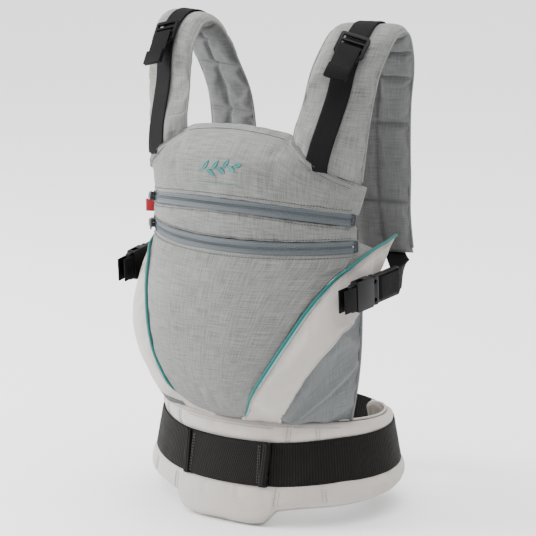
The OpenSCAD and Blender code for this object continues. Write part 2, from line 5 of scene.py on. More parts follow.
import bmesh
import bpy
import numpy as np
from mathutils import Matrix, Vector, noise
from mathutils.bvhtree import BVHTree


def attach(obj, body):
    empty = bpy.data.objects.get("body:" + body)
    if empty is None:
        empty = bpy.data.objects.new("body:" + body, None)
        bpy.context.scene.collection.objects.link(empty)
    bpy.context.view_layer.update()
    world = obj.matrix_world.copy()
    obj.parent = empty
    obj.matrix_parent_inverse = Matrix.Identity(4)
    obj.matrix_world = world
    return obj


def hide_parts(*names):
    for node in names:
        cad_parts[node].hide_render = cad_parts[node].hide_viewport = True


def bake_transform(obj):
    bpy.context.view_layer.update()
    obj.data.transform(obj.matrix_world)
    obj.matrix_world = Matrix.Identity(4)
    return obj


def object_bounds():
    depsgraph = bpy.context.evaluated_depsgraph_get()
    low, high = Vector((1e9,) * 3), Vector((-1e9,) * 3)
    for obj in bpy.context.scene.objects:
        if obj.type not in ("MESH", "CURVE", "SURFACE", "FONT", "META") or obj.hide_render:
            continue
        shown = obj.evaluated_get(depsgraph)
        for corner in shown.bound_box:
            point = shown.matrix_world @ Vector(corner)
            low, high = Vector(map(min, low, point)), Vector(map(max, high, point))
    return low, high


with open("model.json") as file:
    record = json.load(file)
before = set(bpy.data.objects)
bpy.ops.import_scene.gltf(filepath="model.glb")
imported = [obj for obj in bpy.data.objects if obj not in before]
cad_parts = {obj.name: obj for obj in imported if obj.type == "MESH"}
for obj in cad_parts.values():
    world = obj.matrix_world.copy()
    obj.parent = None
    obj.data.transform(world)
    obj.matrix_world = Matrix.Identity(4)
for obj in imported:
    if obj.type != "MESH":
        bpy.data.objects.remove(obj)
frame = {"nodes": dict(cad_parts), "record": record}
CAD_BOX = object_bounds()
NODES = frame["nodes"]
MM = 0.001

# ---------------------------------------------------------------- driving dimensions, as in the part

BELT_RX, BELT_RY, BELT_FLARE, BELT_WEB, BELT_PAD, BELT_END = 143.0, 112.0, 0.18, 48.0, 14.0, 145.0
WEB_FOLD, WEB_STOP, WEB_LOOSE, WEB_CLIMB = 21.0, 164.0, 112.0, 5.0
# Angles where the loose run of the belt webbing and the free end over it stop
LOOSE_STOP, FREE_STOP = 161, 157
PAD_TOP = [(0, 47), (35, 46.5), (65, 44), (95, 40), (125, 36), (145, 29)]
PAD_FOOT = [(0, -67), (19, -66), (26, -51), (60, -45), (90, -41), (120, -32), (145, -19)]
PANEL_R, PANEL_PAD, PANEL_W, CORNER_X, CORNER_Z = 158.0, 7.0, 131.0, 63.0, 356.0
SHOULDER_X, SHOULDER_Z, TOP_RISE = 138.0, 302.0, 7.0
PROFILE = [(48, -101), (61, -124), (80, -144), (104, -153), (124, -155), (149, -152), (180, -144),
           (205, -133), (232, -119.5), (262, -119.5), (292, -119.5), (316, -124), (332, -119),
           (345, -103), (356, -87), (366, -78)]
PANEL_Y = -119.5
PIPING_X = [(48, 14), (56, 29), (80, 49), (97, 60), (119, 73.5), (147, 88), (180, 103.5), (205, 117),
            (218, 127)]
PIPING_TAIL = [(134, -25, 231), (135, 2, 235), (133, 30, 238)]
BAND_LOW = [(61, -90, 49), (72, -104, 57), (84, -114, 69), (106, -115, 105), (119, -108, 126),
            (129, -97, 141), (134, -84, 152), (138, -71, 159), (139, -58, 174)]
GUSSET_FOOT = [(61, -88, 45), (80, -76, 44), (100, -60, 42), (118, -38, 40)]
STRAP_PATH = [(101, -57, 329), (104, -57, 358), (107, -53, 391), (110, -46, 420), (114, -33, 444),
              (115, -12, 461), (114, 10, 459), (110, 28, 439), (105, 40, 413), (97, 50, 380),
              (94, 55, 344), (94, 57, 304), (96, 59, 260), (103, 62, 210)]
STRAP_TURN, STRAP_SLANT, SLANT_END, STRAP_W, STRAP_PAD, STRAP_WEB = (20, 14), -0.69, 0.16, 72.0, 15.0, 25.0
ZIP_LOW_Z, ZIP_UP_Z, ZIP_DROP, ZIP_END_X, TAPE_W = 240.0, 284.0, 17.0, 132.0, 14.0
LOCK_T, WEB_T = 0.305, 1.8
SEAM_SINK, BEND_END = 3.0, 0.2

# ---------------------------------------------------------------- curves


def smooth(u):
    c = np.clip(u, 0, 1)
    return c * c * (3 - 2 * c)


def mix(a, b, u):
    return a + (b - a) * u


def unit(v):
    v = np.asarray(v, float)
    return v / np.maximum(np.linalg.norm(v, axis=-1, keepdims=True), 1e-9)


def curve(table, x):
    """Smooth curve through (x, y) pairs, at any x."""
    xs, ys = np.array(table, float).T
    n = len(xs)
    lo, hi = np.maximum(np.arange(n) - 1, 0), np.minimum(np.arange(n) + 1, n - 1)
    slopes = (ys[hi] - ys[lo]) / (xs[hi] - xs[lo])
    i = np.clip(np.searchsorted(xs, x, side="right") - 1, 0, n - 2)
    h = xs[i + 1] - xs[i]
    u = np.clip((x - xs[i]) / h, 0, 1)
    return (ys[i] * (2 * u**3 - 3 * u**2 + 1) + h * slopes[i] * (u**3 - 2 * u**2 + u)
            + ys[i + 1] * (3 * u**2 - 2 * u**3) + h * slopes[i + 1] * (u**3 - u**2))


def along(pts, t):
    """Points at shares t of a smooth curve through pts."""
    p = np.array(pts, float)
    n = len(p) - 1
    s = np.clip(np.asarray(t, float) * n, 0, n - 1e-5)
    i = np.floor(s).astype(int)
    u = (s - i)[..., None]
    a, b, c, d = (p[np.clip(i + k, 0, n)] for k in (-1, 0, 1, 2))
    return 0.5 * (2 * b + (c - a) * u + (2 * a - 5 * b + 4 * c - d) * u**2 + (3 * b - a - 3 * c + d) * u**3)


def tangent(pts, t):
    t = np.asarray(t, float)
    return unit(along(pts, np.minimum(1, t + 0.01)) - along(pts, np.maximum(0, t - 0.01)))


def wobble(p, scale, seed):
    """Smooth noise from -1 to 1 at points in millimetres."""
    flat = np.asarray(p, float).reshape(-1, 3) / scale + seed
    return np.array([noise.noise(Vector(q)) for q in flat]).reshape(np.shape(p)[:-1])


def normals(grid):
    """Unit normals of a grid of points, along rows cross columns."""
    return unit(np.cross(np.gradient(grid, axis=0), np.gradient(grid, axis=1)))


# ---------------------------------------------------------------- surfaces of the carrier


def front(x, z):
    return curve(PROFILE, z) + PANEL_R - np.sqrt(PANEL_R**2 - x**2)


def half_width(z):
    wide = (mix(127, PANEL_W, smooth((z - 218) / 22)) + (SHOULDER_X - PANEL_W) * smooth((z - 250) / 52))
    return np.where(z < 218, curve(PIPING_X, z), wide)


def panel_points(x, z, depth=0.0):
    lean = np.arcsin(x / PANEL_R)
    return np.stack([x - depth * np.sin(lean), front(x, z) + depth * np.cos(lean), z], axis=-1)


def zip_gap(x, middle, drop):
    return middle - drop * (x / ZIP_END_X)**2


def crown(x):
    ax = np.abs(x)
    return np.where(ax < CORNER_X, CORNER_Z + TOP_RISE * (1 - (ax / CORNER_X)**2),
                    mix(CORNER_Z, SHOULDER_Z, (ax - CORNER_X) / (SHOULDER_X - CORNER_X)))


def loop_points(a, z, out):
    r = np.radians(a)
    return np.stack([(BELT_RX - BELT_FLARE * z + out) * np.sin(r),
                     -(BELT_RY - BELT_FLARE * z + out) * np.cos(r), z + 0 * r], axis=-1)


def web_z(a):
    return WEB_CLIMB * smooth((np.abs(a) - WEB_FOLD) / 40)


def piping_line(t):
    low = [(w, float(front(w, z)), z) for z, w in PIPING_X]
    return along(low + PIPING_TAIL, t)


def strap_width_way(t):
    turn = np.radians(mix(STRAP_TURN[0], STRAP_TURN[1], smooth(t)))
    slant = STRAP_SLANT * (1 - smooth(np.asarray(t) / SLANT_END))
    return unit(np.stack([np.cos(turn), np.sin(turn), slant + 0 * turn], axis=-1))


def strap_out(t):
    return unit(np.cross(strap_width_way(t), tangent(STRAP_PATH, t)))


def strap_half(t):
    return STRAP_W / 2 + 6 * (1 - smooth(t / 0.12)) - 5 * smooth((t - 0.85) / 0.15)


def strap_thick(t):
    return mix(8, STRAP_PAD, smooth(t / 0.3)) - 4 * smooth((t - 0.5) / 0.5)


def flat_strap(t, v):
    t, v = np.broadcast_arrays(np.asarray(t, float), np.asarray(v, float))
    return along(STRAP_PATH, t) + strap_width_way(t) * (v * strap_half(t))[..., None]


def strap_middle(t, v):
    """Middle plane of the strap. Its first end is bent round to lie along the shoulder seam."""
    flat = flat_strap(t, v)
    foot = flat_strap(np.zeros(flat.shape[:-1]), v)
    x = foot[..., 0]
    seam = panel_points(x, crown(x) - SEAM_SINK, SEAM_SINK)
    return flat + (1 - smooth(np.asarray(t, float) / BEND_END))[..., None] * (seam - foot)


# ---------------------------------------------------------------- meshes


def mesh(name, verts, faces, material, uvs=None, mirror=False):
    """An object from points in millimetres. uvs has one (u, v) in millimetres for each point."""
    pts = np.array(verts, float).reshape(-1, 3) * MM
    if mirror:
        pts = pts * [-1, 1, 1]
        faces = [f[::-1] for f in faces]
    data = bpy.data.meshes.new(name)
    data.from_pydata(pts.tolist(), [], [tuple(int(i) for i in f) for f in faces])
    if uvs is not None:
        layer = data.uv_layers.new(name="cloth")
        loops = np.empty(len(data.loops), int)
        data.loops.foreach_get("vertex_index", loops)
        layer.data.foreach_set("uv", np.asarray(uvs, float).reshape(-1, 2)[loops].ravel())
    data.materials.append(material)
    data.update()
    data.shade_smooth()
    obj = bpy.data.objects.new(name, data)
    bpy.context.scene.collection.objects.link(obj)
    return obj


def quads(rows, cols):
    return [(i * cols + j, (i + 1) * cols + j, (i + 1) * cols + j + 1, i * cols + j + 1)
            for i in range(rows - 1) for j in range(cols - 1)]


def rim_of(ids):
    """Point numbers along the four edges of a grid."""
    return np.concatenate([ids[0], ids[-1], ids[:, 0], ids[:, -1]])


def run_along(pts):
    """Distance from the first point to each point of a line."""
    return np.concatenate([[0], np.cumsum(np.linalg.norm(np.diff(pts, axis=0), axis=1))])


def lengths(grid):
    """(row, column) distances in millimetres along a grid, for cloth UVs."""
    down = np.linalg.norm(np.diff(grid, axis=0), axis=-1).mean(axis=1)
    over = np.linalg.norm(np.diff(grid, axis=1), axis=-1).mean(axis=0)
    r = np.concatenate([[0], np.cumsum(down)])
    c = np.concatenate([[0], np.cumsum(over)])
    return np.stack(np.broadcast_arrays(c[None, :] - c.mean(), r[:, None]), axis=-1)


def pad(name, middle, half, material, back_material=None, mirror=False, out=None, turn_cloth=False):
    """A closed cushion about a grid: half is the half thickness at each point, and the rim is one seam."""
    n, m = middle.shape[:2]
    n_out = normals(middle) if out is None else out
    h = np.array(half)[..., None] * n_out
    face, back = middle + h, middle - h
    rim = np.ones((n, m), bool)
    rim[1:-1, 1:-1] = False
    back_id = np.arange(n * m).reshape(n, m).copy()
    back_id[~rim] = n * m + np.arange((~rim).sum())
    faces = quads(n, m)
    faces += [(back_id[i, j], back_id[i, j + 1], back_id[i + 1, j + 1], back_id[i + 1, j])
              for i in range(n - 1) for j in range(m - 1)]
    face[rim] = middle[rim]
    verts = np.concatenate([face.reshape(-1, 3), back[~rim]])
    uv = lengths(middle)
    uv = uv[..., ::-1] if turn_cloth else uv
    uvs = np.concatenate([uv.reshape(-1, 2), uv[~rim]])
    obj = mesh(name, verts, faces, material, uvs, mirror)
    if back_material:
        obj.data.materials.append(back_material)
        half_faces = (n - 1) * (m - 1)
        for p in obj.data.polygons:
            p.material_index = int(p.index >= half_faces)
    return obj, np.arange(n * m).reshape(n, m), back_id


def rounded_edge(n, m, row_len, col_len, radius):
    """Share of the full half thickness at each point of an n by m grid: a quarter circle in from the rim."""
    r = np.minimum(np.arange(n), np.arange(n)[::-1])[:, None] * row_len / (n - 1)
    c = np.minimum(np.arange(m), np.arange(m)[::-1])[None, :] * col_len / (m - 1)
    e = np.clip(np.minimum(r, c) / radius, 0, 1)
    return np.sqrt(1 - (1 - e)**2)


def simulate(obj, pins, pressure, grow=0.0, cap=6.0, frames=18, stiff=12.0):
    """Blows obj up with Blender's cloth solver, with the pinned points held, and keeps the result."""
    group = obj.vertex_groups.new(name="pins")
    group.add([int(i) for i in set(np.ravel(pins))], 1.0, "REPLACE")
    before = np.empty(len(obj.data.vertices) * 3)
    obj.data.vertices.foreach_get("co", before)
    mod = obj.modifiers.new("cloth", "CLOTH")
    s = mod.settings
    s.quality = 5
    s.mass = 0.15
    s.tension_stiffness = s.compression_stiffness = stiff
    s.shear_stiffness = stiff / 2
    s.bending_stiffness = 0.4
    s.vertex_group_mass = "pins"
    s.use_pressure = True
    s.uniform_pressure_force = pressure
    s.shrink_min = -grow
    s.effector_weights.gravity = 0
    s.air_damping = 4
    mod.collision_settings.use_collision = False
    mod.point_cache.frame_end = frames
    scene = bpy.context.scene
    for f in range(1, frames + 1):
        scene.frame_set(f)
    dep = bpy.context.evaluated_depsgraph_get()
    after = np.empty_like(before)
    obj.evaluated_get(dep).data.vertices.foreach_get("co", after)
    obj.modifiers.remove(mod)
    scene.frame_set(1)
    move = (after - before).reshape(-1, 3)
    size = np.linalg.norm(move, axis=1, keepdims=True)
    move *= np.minimum(1, cap * MM / np.maximum(size, 1e-9))
    obj.data.vertices.foreach_set("co", (before.reshape(-1, 3) + move).ravel())
    obj.vertex_groups.remove(group)
    obj.data.update()


def finish_soft(obj):
    """Rounds a soft piece off with one level of subdivision."""
    mod = obj.modifiers.new("round", "SUBSURF")
    mod.levels = mod.render_levels = 1
    dep = bpy.context.evaluated_depsgraph_get()
    data = bpy.data.meshes.new_from_object(obj.evaluated_get(dep))
    obj.modifiers.clear()
    obj.data = data


def mirrored(obj, name):
    """The left twin of a finished right piece."""
    data = obj.data.copy()
    co = np.empty(len(data.vertices) * 3)
    data.vertices.foreach_get("co", co)
    data.vertices.foreach_set("co", (co.reshape(-1, 3) * [-1, 1, 1]).ravel())
    data.flip_normals()
    twin = bpy.data.objects.new(name, data)
    bpy.context.scene.collection.objects.link(twin)
    return twin


def strip(name, middle, ways, outs, width, thick, material, mirror=False):
    """Flat webbing along a row of points: width along ways, thickness along outs, with rolled edges."""
    cut = [(-1, 0), (-0.97, 0.8), (-0.86, 1), (-0.4, 0.86), (0, 1), (0.4, 0.86), (0.86, 1), (0.97, 0.8),
           (1, 0), (0.97, -0.8), (0.86, -1), (0, -0.9), (-0.86, -1), (-0.97, -0.8)]
    rows = [[p + w * (a * width / 2) + o * (b * thick / 2) for a, b in cut]
            for p, w, o in zip(middle, ways, outs)]
    grid = np.array(rows)
    n, m = grid.shape[:2]
    run = run_along(middle)
    uvs = np.array([[(a * width / 2, r) for a, b in cut] for r in run])
    faces = [(i * m + j, i * m + (j + 1) % m, (i + 1) * m + (j + 1) % m, (i + 1) * m + j)
             for i in range(n - 1) for j in range(m)]
    faces += [tuple(range(m))[::-1], tuple(range((n - 1) * m, n * m))]
    if np.dot(np.cross(ways[0], outs[0]), middle[1] - middle[0]) > 0:
        faces = [f[::-1] for f in faces]
    return mesh(name, grid, faces, material, uvs, mirror)


def tube_verts(pts, radius, sides, out=None):
    pts = np.asarray(pts, float)
    tan = unit(np.gradient(pts, axis=0))
    ref = np.tile([0.2, 0.3, 1.0], (len(pts), 1)) if out is None else np.asarray(out)
    a = unit(np.cross(tan, ref))
    b = np.cross(a, tan)
    ang = np.arange(sides) * 2 * math.pi / sides
    rings = [pts[i] + radius * (np.cos(ang)[:, None] * a[i] + np.sin(ang)[:, None] * b[i])
             for i in range(len(pts))]
    n = len(pts)
    faces = [(i * sides + j, i * sides + (j + 1) % sides, (i + 1) * sides + (j + 1) % sides,
              (i + 1) * sides + j) for i in range(n - 1) for j in range(sides)]
    faces += [tuple(range(sides))[::-1], tuple(range((n - 1) * sides, n * sides))]
    return np.concatenate(rings), faces


def tube(name, pts, radius, material, sides=10, mirror=False):
    verts, faces = tube_verts(pts, radius, sides)
    run = run_along(pts)
    uvs = [(j * 2 * math.pi * radius / sides, r) for r in run for j in range(sides)]
    return mesh(name, verts, faces, material, uvs, mirror)


class Threads:
    """Gathers short rounded threads, such as stitches, into one mesh."""

    def __init__(self):
        self.verts, self.faces, self.count = [], [], 0

    def add(self, a, b, out, radius, sag=0.35):
        a, b, out = (np.asarray(v, float) for v in (a, b, out))
        pts = [a - out * radius, mix(a, b, 0.14) + out * radius * sag, mix(a, b, 0.5) + out * radius * 0.6,
               mix(a, b, 0.86) + out * radius * sag, b - out * radius]
        verts, faces = tube_verts(pts, radius, 6, out=np.tile(out, (5, 1)))
        self.verts.append(verts)
        self.faces += [tuple(i + self.count for i in f) for f in faces]
        self.count += len(verts)

    def build(self, name, material, mirror=False):
        return mesh(name, np.concatenate(self.verts), self.faces, material, None, mirror)


def surface_of(obj):
    data = obj.data
    return BVHTree.FromPolygons([v.co[:] for v in data.vertices], [p.vertices[:] for p in data.polygons])


def settle(tree, points, outs, lift=0.2, reach=14.0):
    """Points moved along outs onto a finished surface."""
    placed = []
    for p, o in zip(np.asarray(points, float), unit(outs)):
        start = Vector((p + o * reach) * MM)
        hit = tree.ray_cast(start, Vector(-o), 2.2 * reach * MM)[0]
        placed.append(np.array(hit) / MM + o * lift if hit else p)
    return np.array(placed)


def resample(pts, step):
    pts = np.asarray(pts, float)
    run = run_along(pts)
    s = np.arange(0, run[-1], step)
    return np.stack([np.interp(s, run, pts[:, k]) for k in range(3)], axis=-1)


def stitch(threads, tree, line, out, pitch=3.0, share=0.68, radius=0.33):
    """A row of stitches along a line, laid on a finished surface."""
    pts = resample(line, pitch / 2)
    outs = np.tile(out, (len(pts), 1)) if np.ndim(out) == 1 else resample_like(line, out, pts)
    placed = settle(tree, pts, outs)
    for i in range(0, len(placed) - 1, 2):
        a, b = placed[i], placed[i + 1]
        gap = (1 - 2 * share) / 2
        threads.add(mix(a, b, gap), mix(a, b, 1 - gap), outs[i], radius)


def resample_like(line, values, pts):
    line, values = np.asarray(line, float), np.asarray(values, float)
    near = np.argmin(np.linalg.norm(line[None] - pts[:, None], axis=-1), axis=1)
    return values[near]


# ---------------------------------------------------------------- materials


class Shader:
    """A material and the few node moves that the finishes below need."""

    def __init__(self, name, rough, sheen=0.0, specular=0.5):
        self.mat = bpy.data.materials.new(name)
        self.mat.use_nodes = True
        self.tree = self.mat.node_tree
        self.bsdf = self.tree.nodes["Principled BSDF"]
        self.bsdf.inputs["Roughness"].default_value = rough
        self.bsdf.inputs["Sheen Weight"].default_value = sheen
        self.bsdf.inputs["Sheen Roughness"].default_value = 0.6
        self.bsdf.inputs["Specular IOR Level"].default_value = specular

    def node(self, kind, **values):
        n = self.tree.nodes.new(kind)
        for key, v in values.items():
            if key.startswith("_"):
                setattr(n, key[1:], v)
                continue
            socket = n.inputs[int(key[1:])] if key[0] == "i" and key[1:].isdigit() else n.inputs[key]
            if hasattr(v, "links"):
                self.tree.links.new(v, socket)
            else:
                socket.default_value = v
        return n.outputs[0]

    def math(self, op, a, b=0.0, c=0.0):
        return self.node("ShaderNodeMath", _operation=op, i0=a, i1=b, i2=c)

    def noise(self, vector, scale, detail=3.0, stretch=None):
        if stretch:
            vector = self.node("ShaderNodeMapping", Vector=vector, Scale=stretch)
        return self.node("ShaderNodeTexNoise", Vector=vector, Scale=scale, Detail=detail)

    def blend(self, factor, a, b):
        n = self.tree.nodes.new("ShaderNodeMix")
        n.data_type = "RGBA"
        for i, v in ((0, factor), (6, a), (7, b)):
            if hasattr(v, "links"):
                self.tree.links.new(v, n.inputs[i])
            else:
                n.inputs[i].default_value = v if i == 0 else (*v, 1)
        return n.outputs[2]

    def bump(self, height, distance, strength):
        return self.node("ShaderNodeBump", Height=height, Distance=distance, Strength=strength)

    def set(self, socket, value):
        self.tree.links.new(value, self.bsdf.inputs[socket])

    def cloth_uv(self):
        uv = self.node("ShaderNodeUVMap", _uv_map="cloth")
        split = self.tree.nodes.new("ShaderNodeSeparateXYZ")
        self.tree.links.new(uv, split.inputs[0])
        return uv, split.outputs[0], split.outputs[1]

    def place(self):
        n = self.tree.nodes.new("ShaderNodeTexCoord")
        return n.outputs["Object"]


def woven(name, light, dark, yarn=1.25, slub=1.0, rough=0.92, sheen=0.12, bump=0.00035):
    """Plain canvas: warp and weft yarns that pass over each other, thick and thin places, faint shading."""
    s = Shader(name, rough, sheen, 0.25)
    uv, u, v = s.cloth_uv()
    loose = s.noise(s.place(), 900.0, 1.0)
    turn = math.pi / yarn
    su = s.math("SINE", s.math("MULTIPLY_ADD", u, turn, s.math("MULTIPLY", loose, 0.9)))
    sv = s.math("SINE", s.math("MULTIPLY_ADD", v, turn, s.math("MULTIPLY", loose, 0.9)))
    over = s.math("GREATER_THAN", s.math("MULTIPLY", su, sv), 0.0)
    warp, weft = s.math("ABSOLUTE", su), s.math("ABSOLUTE", sv)
    height = s.math("ADD", s.math("MULTIPLY", over, warp),
                    s.math("MULTIPLY", s.math("SUBTRACT", 1.0, over), weft))
    thick = s.noise(uv, 1.0, 2.0, (0.9, 0.045, 1.0))
    thick_weft = s.noise(uv, 1.0, 2.0, (0.045, 0.9, 1.0))
    slubs = s.math("ADD", s.math("MULTIPLY", thick, 0.5), s.math("MULTIPLY", thick_weft, 0.5))
    broad = s.noise(s.place(), 14.0, 4.0)
    shade = s.math("ADD", s.math("MULTIPLY", s.math("SUBTRACT", slubs, 0.5), slub * 2.2),
                   s.math("MULTIPLY", s.math("SUBTRACT", broad, 0.5), 0.5))
    tone = s.math("ADD", s.math("MULTIPLY_ADD", height, 0.42, 0.22), shade)
    s.set("Base Color", s.blend(s.node("ShaderNodeClamp", Value=tone), dark, light))
    level = s.math("MULTIPLY_ADD", slubs, 0.8, height)
    s.set("Normal", s.bump(level, bump, 0.6))
    return s.mat


def ribbed(name, light, dark, pitch, slant=0.0, rough=0.62, bump=0.0006, fine=0.9):
    """Webbing: ribs across its length, or slanted, and the fine yarns that cross them."""
    s = Shader(name, rough, 0.0, 0.1)
    _, u, v = s.cloth_uv()
    path = s.math("MULTIPLY_ADD", u, slant, v)
    rib = s.math("ABSOLUTE", s.math("SINE", s.math("MULTIPLY", path, math.pi / pitch)))
    yarn = s.math("ABSOLUTE", s.math("SINE", s.math("MULTIPLY", u, math.pi / fine)))
    height = s.math("MULTIPLY_ADD", yarn, 0.35, rib)
    fuzz = s.noise(s.place(), 60.0, 4.0)
    tone = s.math("ADD", s.math("MULTIPLY", height, 0.55),
                  s.math("MULTIPLY", s.math("SUBTRACT", fuzz, 0.45), 0.6))
    s.set("Base Color", s.blend(s.node("ShaderNodeClamp", Value=tone), dark, light))
    s.set("Normal", s.bump(height, bump, 0.8))
    s.set("Roughness", s.math("MULTIPLY_ADD", fuzz, 0.25, rough - 0.12))
    return s.mat


def plastic(name, light, dark, rough=0.36, grain=0.00006):
    """Moulded nylon: fine grain, uneven gloss and paler rubbed edges."""
    s = Shader(name, rough, 0.0, 0.13)
    place = s.place()
    fine = s.noise(place, 2600.0, 2.0)
    broad = s.noise(place, 90.0, 3.0)
    edge = s.tree.nodes.new("ShaderNodeNewGeometry").outputs["Pointiness"]
    worn = s.node("ShaderNodeClamp", Value=s.math("MULTIPLY", s.math("SUBTRACT", edge, 0.52), 6.0))
    tone = s.math("ADD", s.math("MULTIPLY", broad, 0.5), s.math("MULTIPLY", worn, 0.8))
    s.set("Base Color", s.blend(s.node("ShaderNodeClamp", Value=tone), dark, light))
    s.set("Roughness", s.math("MULTIPLY_ADD", broad, 0.22, rough - 0.1))
    s.set("Normal", s.bump(fine, grain, 0.5))
    return s.mat


def thread(name, light, dark, rough=0.55):
    """Twisted sewing or embroidery thread."""
    s = Shader(name, rough, 0.25, 0.4)
    place = s.place()
    ply = s.node("ShaderNodeTexWave", Vector=place, Scale=700.0, Distortion=2.0, Detail=1.0)
    tint = s.noise(place, 120.0, 2.0)
    s.set("Base Color", s.blend(s.math("MULTIPLY_ADD", tint, 0.6, s.math("MULTIPLY", ply, 0.3)), dark, light))
    s.set("Normal", s.bump(ply, 0.00008, 0.5))
    return s.mat


GREY = woven("grey_canvas", (0.232, 0.235, 0.225), (0.080, 0.083, 0.080))
STRAP_GREY = woven("strap_canvas", (0.242, 0.244, 0.232), (0.084, 0.086, 0.082))
QUILT = woven("quilted_face", (0.158, 0.161, 0.159), (0.078, 0.080, 0.080), yarn=1.0)
PALE = woven("pale_canvas", (0.52, 0.482, 0.448), (0.35, 0.323, 0.30), slub=0.35)
GUSSET = woven("gusset_canvas", (0.146, 0.155, 0.156), (0.070, 0.076, 0.078))
LINING = woven("belt_lining", (0.20, 0.178, 0.152), (0.12, 0.106, 0.09), yarn=1.0)
INNER = woven("panel_lining", (0.30, 0.288, 0.27), (0.2, 0.19, 0.178), yarn=1.0)
PIPING = woven("piping_cloth", (0.0005, 0.155, 0.14), (0.0002, 0.09, 0.08), yarn=0.7, slub=0.3, rough=0.7)
# pale cyan cloth for the strip beside the teal cord: a painted highlight along the piping
PIPING_HIGHLIGHT = woven("piping_edge", (0.36, 0.56, 0.58), (0.24, 0.42, 0.44), yarn=0.7, slub=0.2)
TAPE = woven("zip_tape", (0.150, 0.172, 0.186), (0.070, 0.083, 0.093), yarn=0.8, slub=0.2, rough=0.75)
RED = woven("red_tab", (0.34, 0.004, 0.010), (0.2, 0.002, 0.005), yarn=0.7, slub=0.2, rough=0.7)
BELT_RIBS = ribbed("belt_webbing", (0.0135, 0.0120, 0.0105), (0.0014, 0.0013, 0.0012), 3.0, bump=0.0009)
BELT_TWILL = ribbed("belt_webbing_front", (0.0135, 0.0120, 0.0105), (0.0014, 0.0013, 0.0012), 2.6, slant=0.45)
WEB = ribbed("strap_webbing", (0.0042, 0.0042, 0.005), (0.0010, 0.0010, 0.0013), 1.4, slant=0.5, bump=0.0003)
BLACK = plastic("black_nylon", (0.0085, 0.0088, 0.0095), (0.0018, 0.0019, 0.0021))
ZIP_METAL = plastic("zip_enamel", (0.075, 0.08, 0.088), (0.03, 0.033, 0.037), rough=0.3)
COIL = plastic("zip_coil", (0.125, 0.145, 0.158), (0.065, 0.078, 0.088), rough=0.42)
GREY_THREAD = thread("grey_thread", (0.035, 0.037, 0.041), (0.014, 0.015, 0.017))
PALE_THREAD = thread("pale_thread", (0.30, 0.28, 0.265), (0.2, 0.185, 0.175))
BLACK_THREAD = thread("black_thread", (0.06, 0.06, 0.062), (0.02, 0.02, 0.021))
TEAL_THREAD = thread("teal_thread", (0.0005, 0.165, 0.155), (0.0002, 0.09, 0.085), rough=0.4)

CARRIER = "carrier"


def place(obj, slot, *nodes, body=CARRIER):
    """Names what a finished piece rides on and stands for. slot, the finish it would take, is not used."""
    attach(obj, body)
    if nodes:
        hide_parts(*nodes)
    return obj


# ---------------------------------------------------------------- waist belt

# Slanted seams down the belt: angle at the foot and at the rim
BELT_SEAMS = [(25, 31), (47, 45)]


def seam_angle(seam, z):
    return mix(seam[0], seam[1], smooth((z + 50) / 95))


def puff(z, top, foot, middle):
    edge = np.minimum(top - z, z - foot)
    pressed = 1 - smooth((np.abs(z - middle) - BELT_WEB / 2) / 7)
    return 1.2 - 3.4 * pressed - 5 * np.maximum(0, 1 - edge / 9)**2 * 0.3


def belt_grid(n, m):
    a = np.linspace(-BELT_END, BELT_END, n)[:, None] + np.zeros((1, m))
    v = np.linspace(0, 1, m)[None, :]
    top, foot = curve(PAD_TOP, np.abs(a)), curve(PAD_FOOT, np.abs(a))
    z = mix(foot, top, v)
    return a, z, puff(z, top, foot, web_z(a))


def make_belt():
    n, m = 230, 30
    a, z, out = belt_grid(n, m)
    groove = sum(np.exp(-((np.abs(a) - seam_angle(s, z)) / 0.9)**2) for s in BELT_SEAMS)
    middle = loop_points(a, z, out - BELT_PAD / 2 - 1.1 * groove)
    # the wings bow in and out a little, as padding does on a worn belt
    wave = 1.3 * wobble(middle, 55, 3.0) * smooth((np.abs(a) - 60) / 40)
    middle = middle + normals(middle) * wave[..., None]
    half = BELT_PAD / 2 * rounded_edge(n, m, 700, 112, 8)
    belt, face, back = pad("belt_pad", middle, half, PALE, LINING)
    under = (np.abs(z - web_z(a)) < BELT_WEB / 2 + 1) | (groove > 0.5)
    rim = rim_of(face)
    pins = np.concatenate([face[under], back[(groove > 0.7)], rim])
    simulate(belt, pins, 5.0, grow=0.012, cap=2.6)
    finish_soft(belt)
    place(belt, "pale_fabric", "belt_cover", "belt_foam", "belt_lining")
    tree = surface_of(belt)
    stitches = Threads()
    for side in (-1, 1):
        for seam in BELT_SEAMS:
            for off in (-0.9, 0.9):
                zs = np.linspace(curve(PAD_FOOT, seam[0]) + 8, curve(PAD_TOP, seam[1]) - 5, 60)
                zs = zs[np.abs(zs - web_z(seam[0])) > BELT_WEB / 2 + 1]
                for part in (zs[zs < 0], zs[zs > 0]):
                    line = loop_points(side * (seam_angle(seam, part) + off), part, 2)
                    stitch(stitches, tree, line, unit(line * [1, 1, 0]))
    # the panel's foot is sewn down along the rim
    for drop, reach in ((3.0, 58), (5.5, 24)):
        arc = np.linspace(-reach, reach, 90)
        line = loop_points(arc, curve(PAD_TOP, np.abs(arc)) - drop - 2, 2)
        stitch(stitches, tree, line, unit(line * [1, 1, 0]))
    place(stitches.build("belt_stitches", PALE_THREAD), "pale_fabric")
    binding()


def binding():
    """Rolled binding along the belt's rim and foot."""
    arc = np.linspace(-BELT_END + 2, BELT_END - 2, 200)
    for name, table, sign in (("rim_binding", PAD_TOP, 1), ("foot_binding", PAD_FOOT, -1)):
        z = curve(table, np.abs(arc)) + sign * 0.1
        pts = loop_points(arc, z, -BELT_PAD / 2 - 1.8)
        place(tube(name, pts, 1.5, PALE, 8), "pale_fabric")


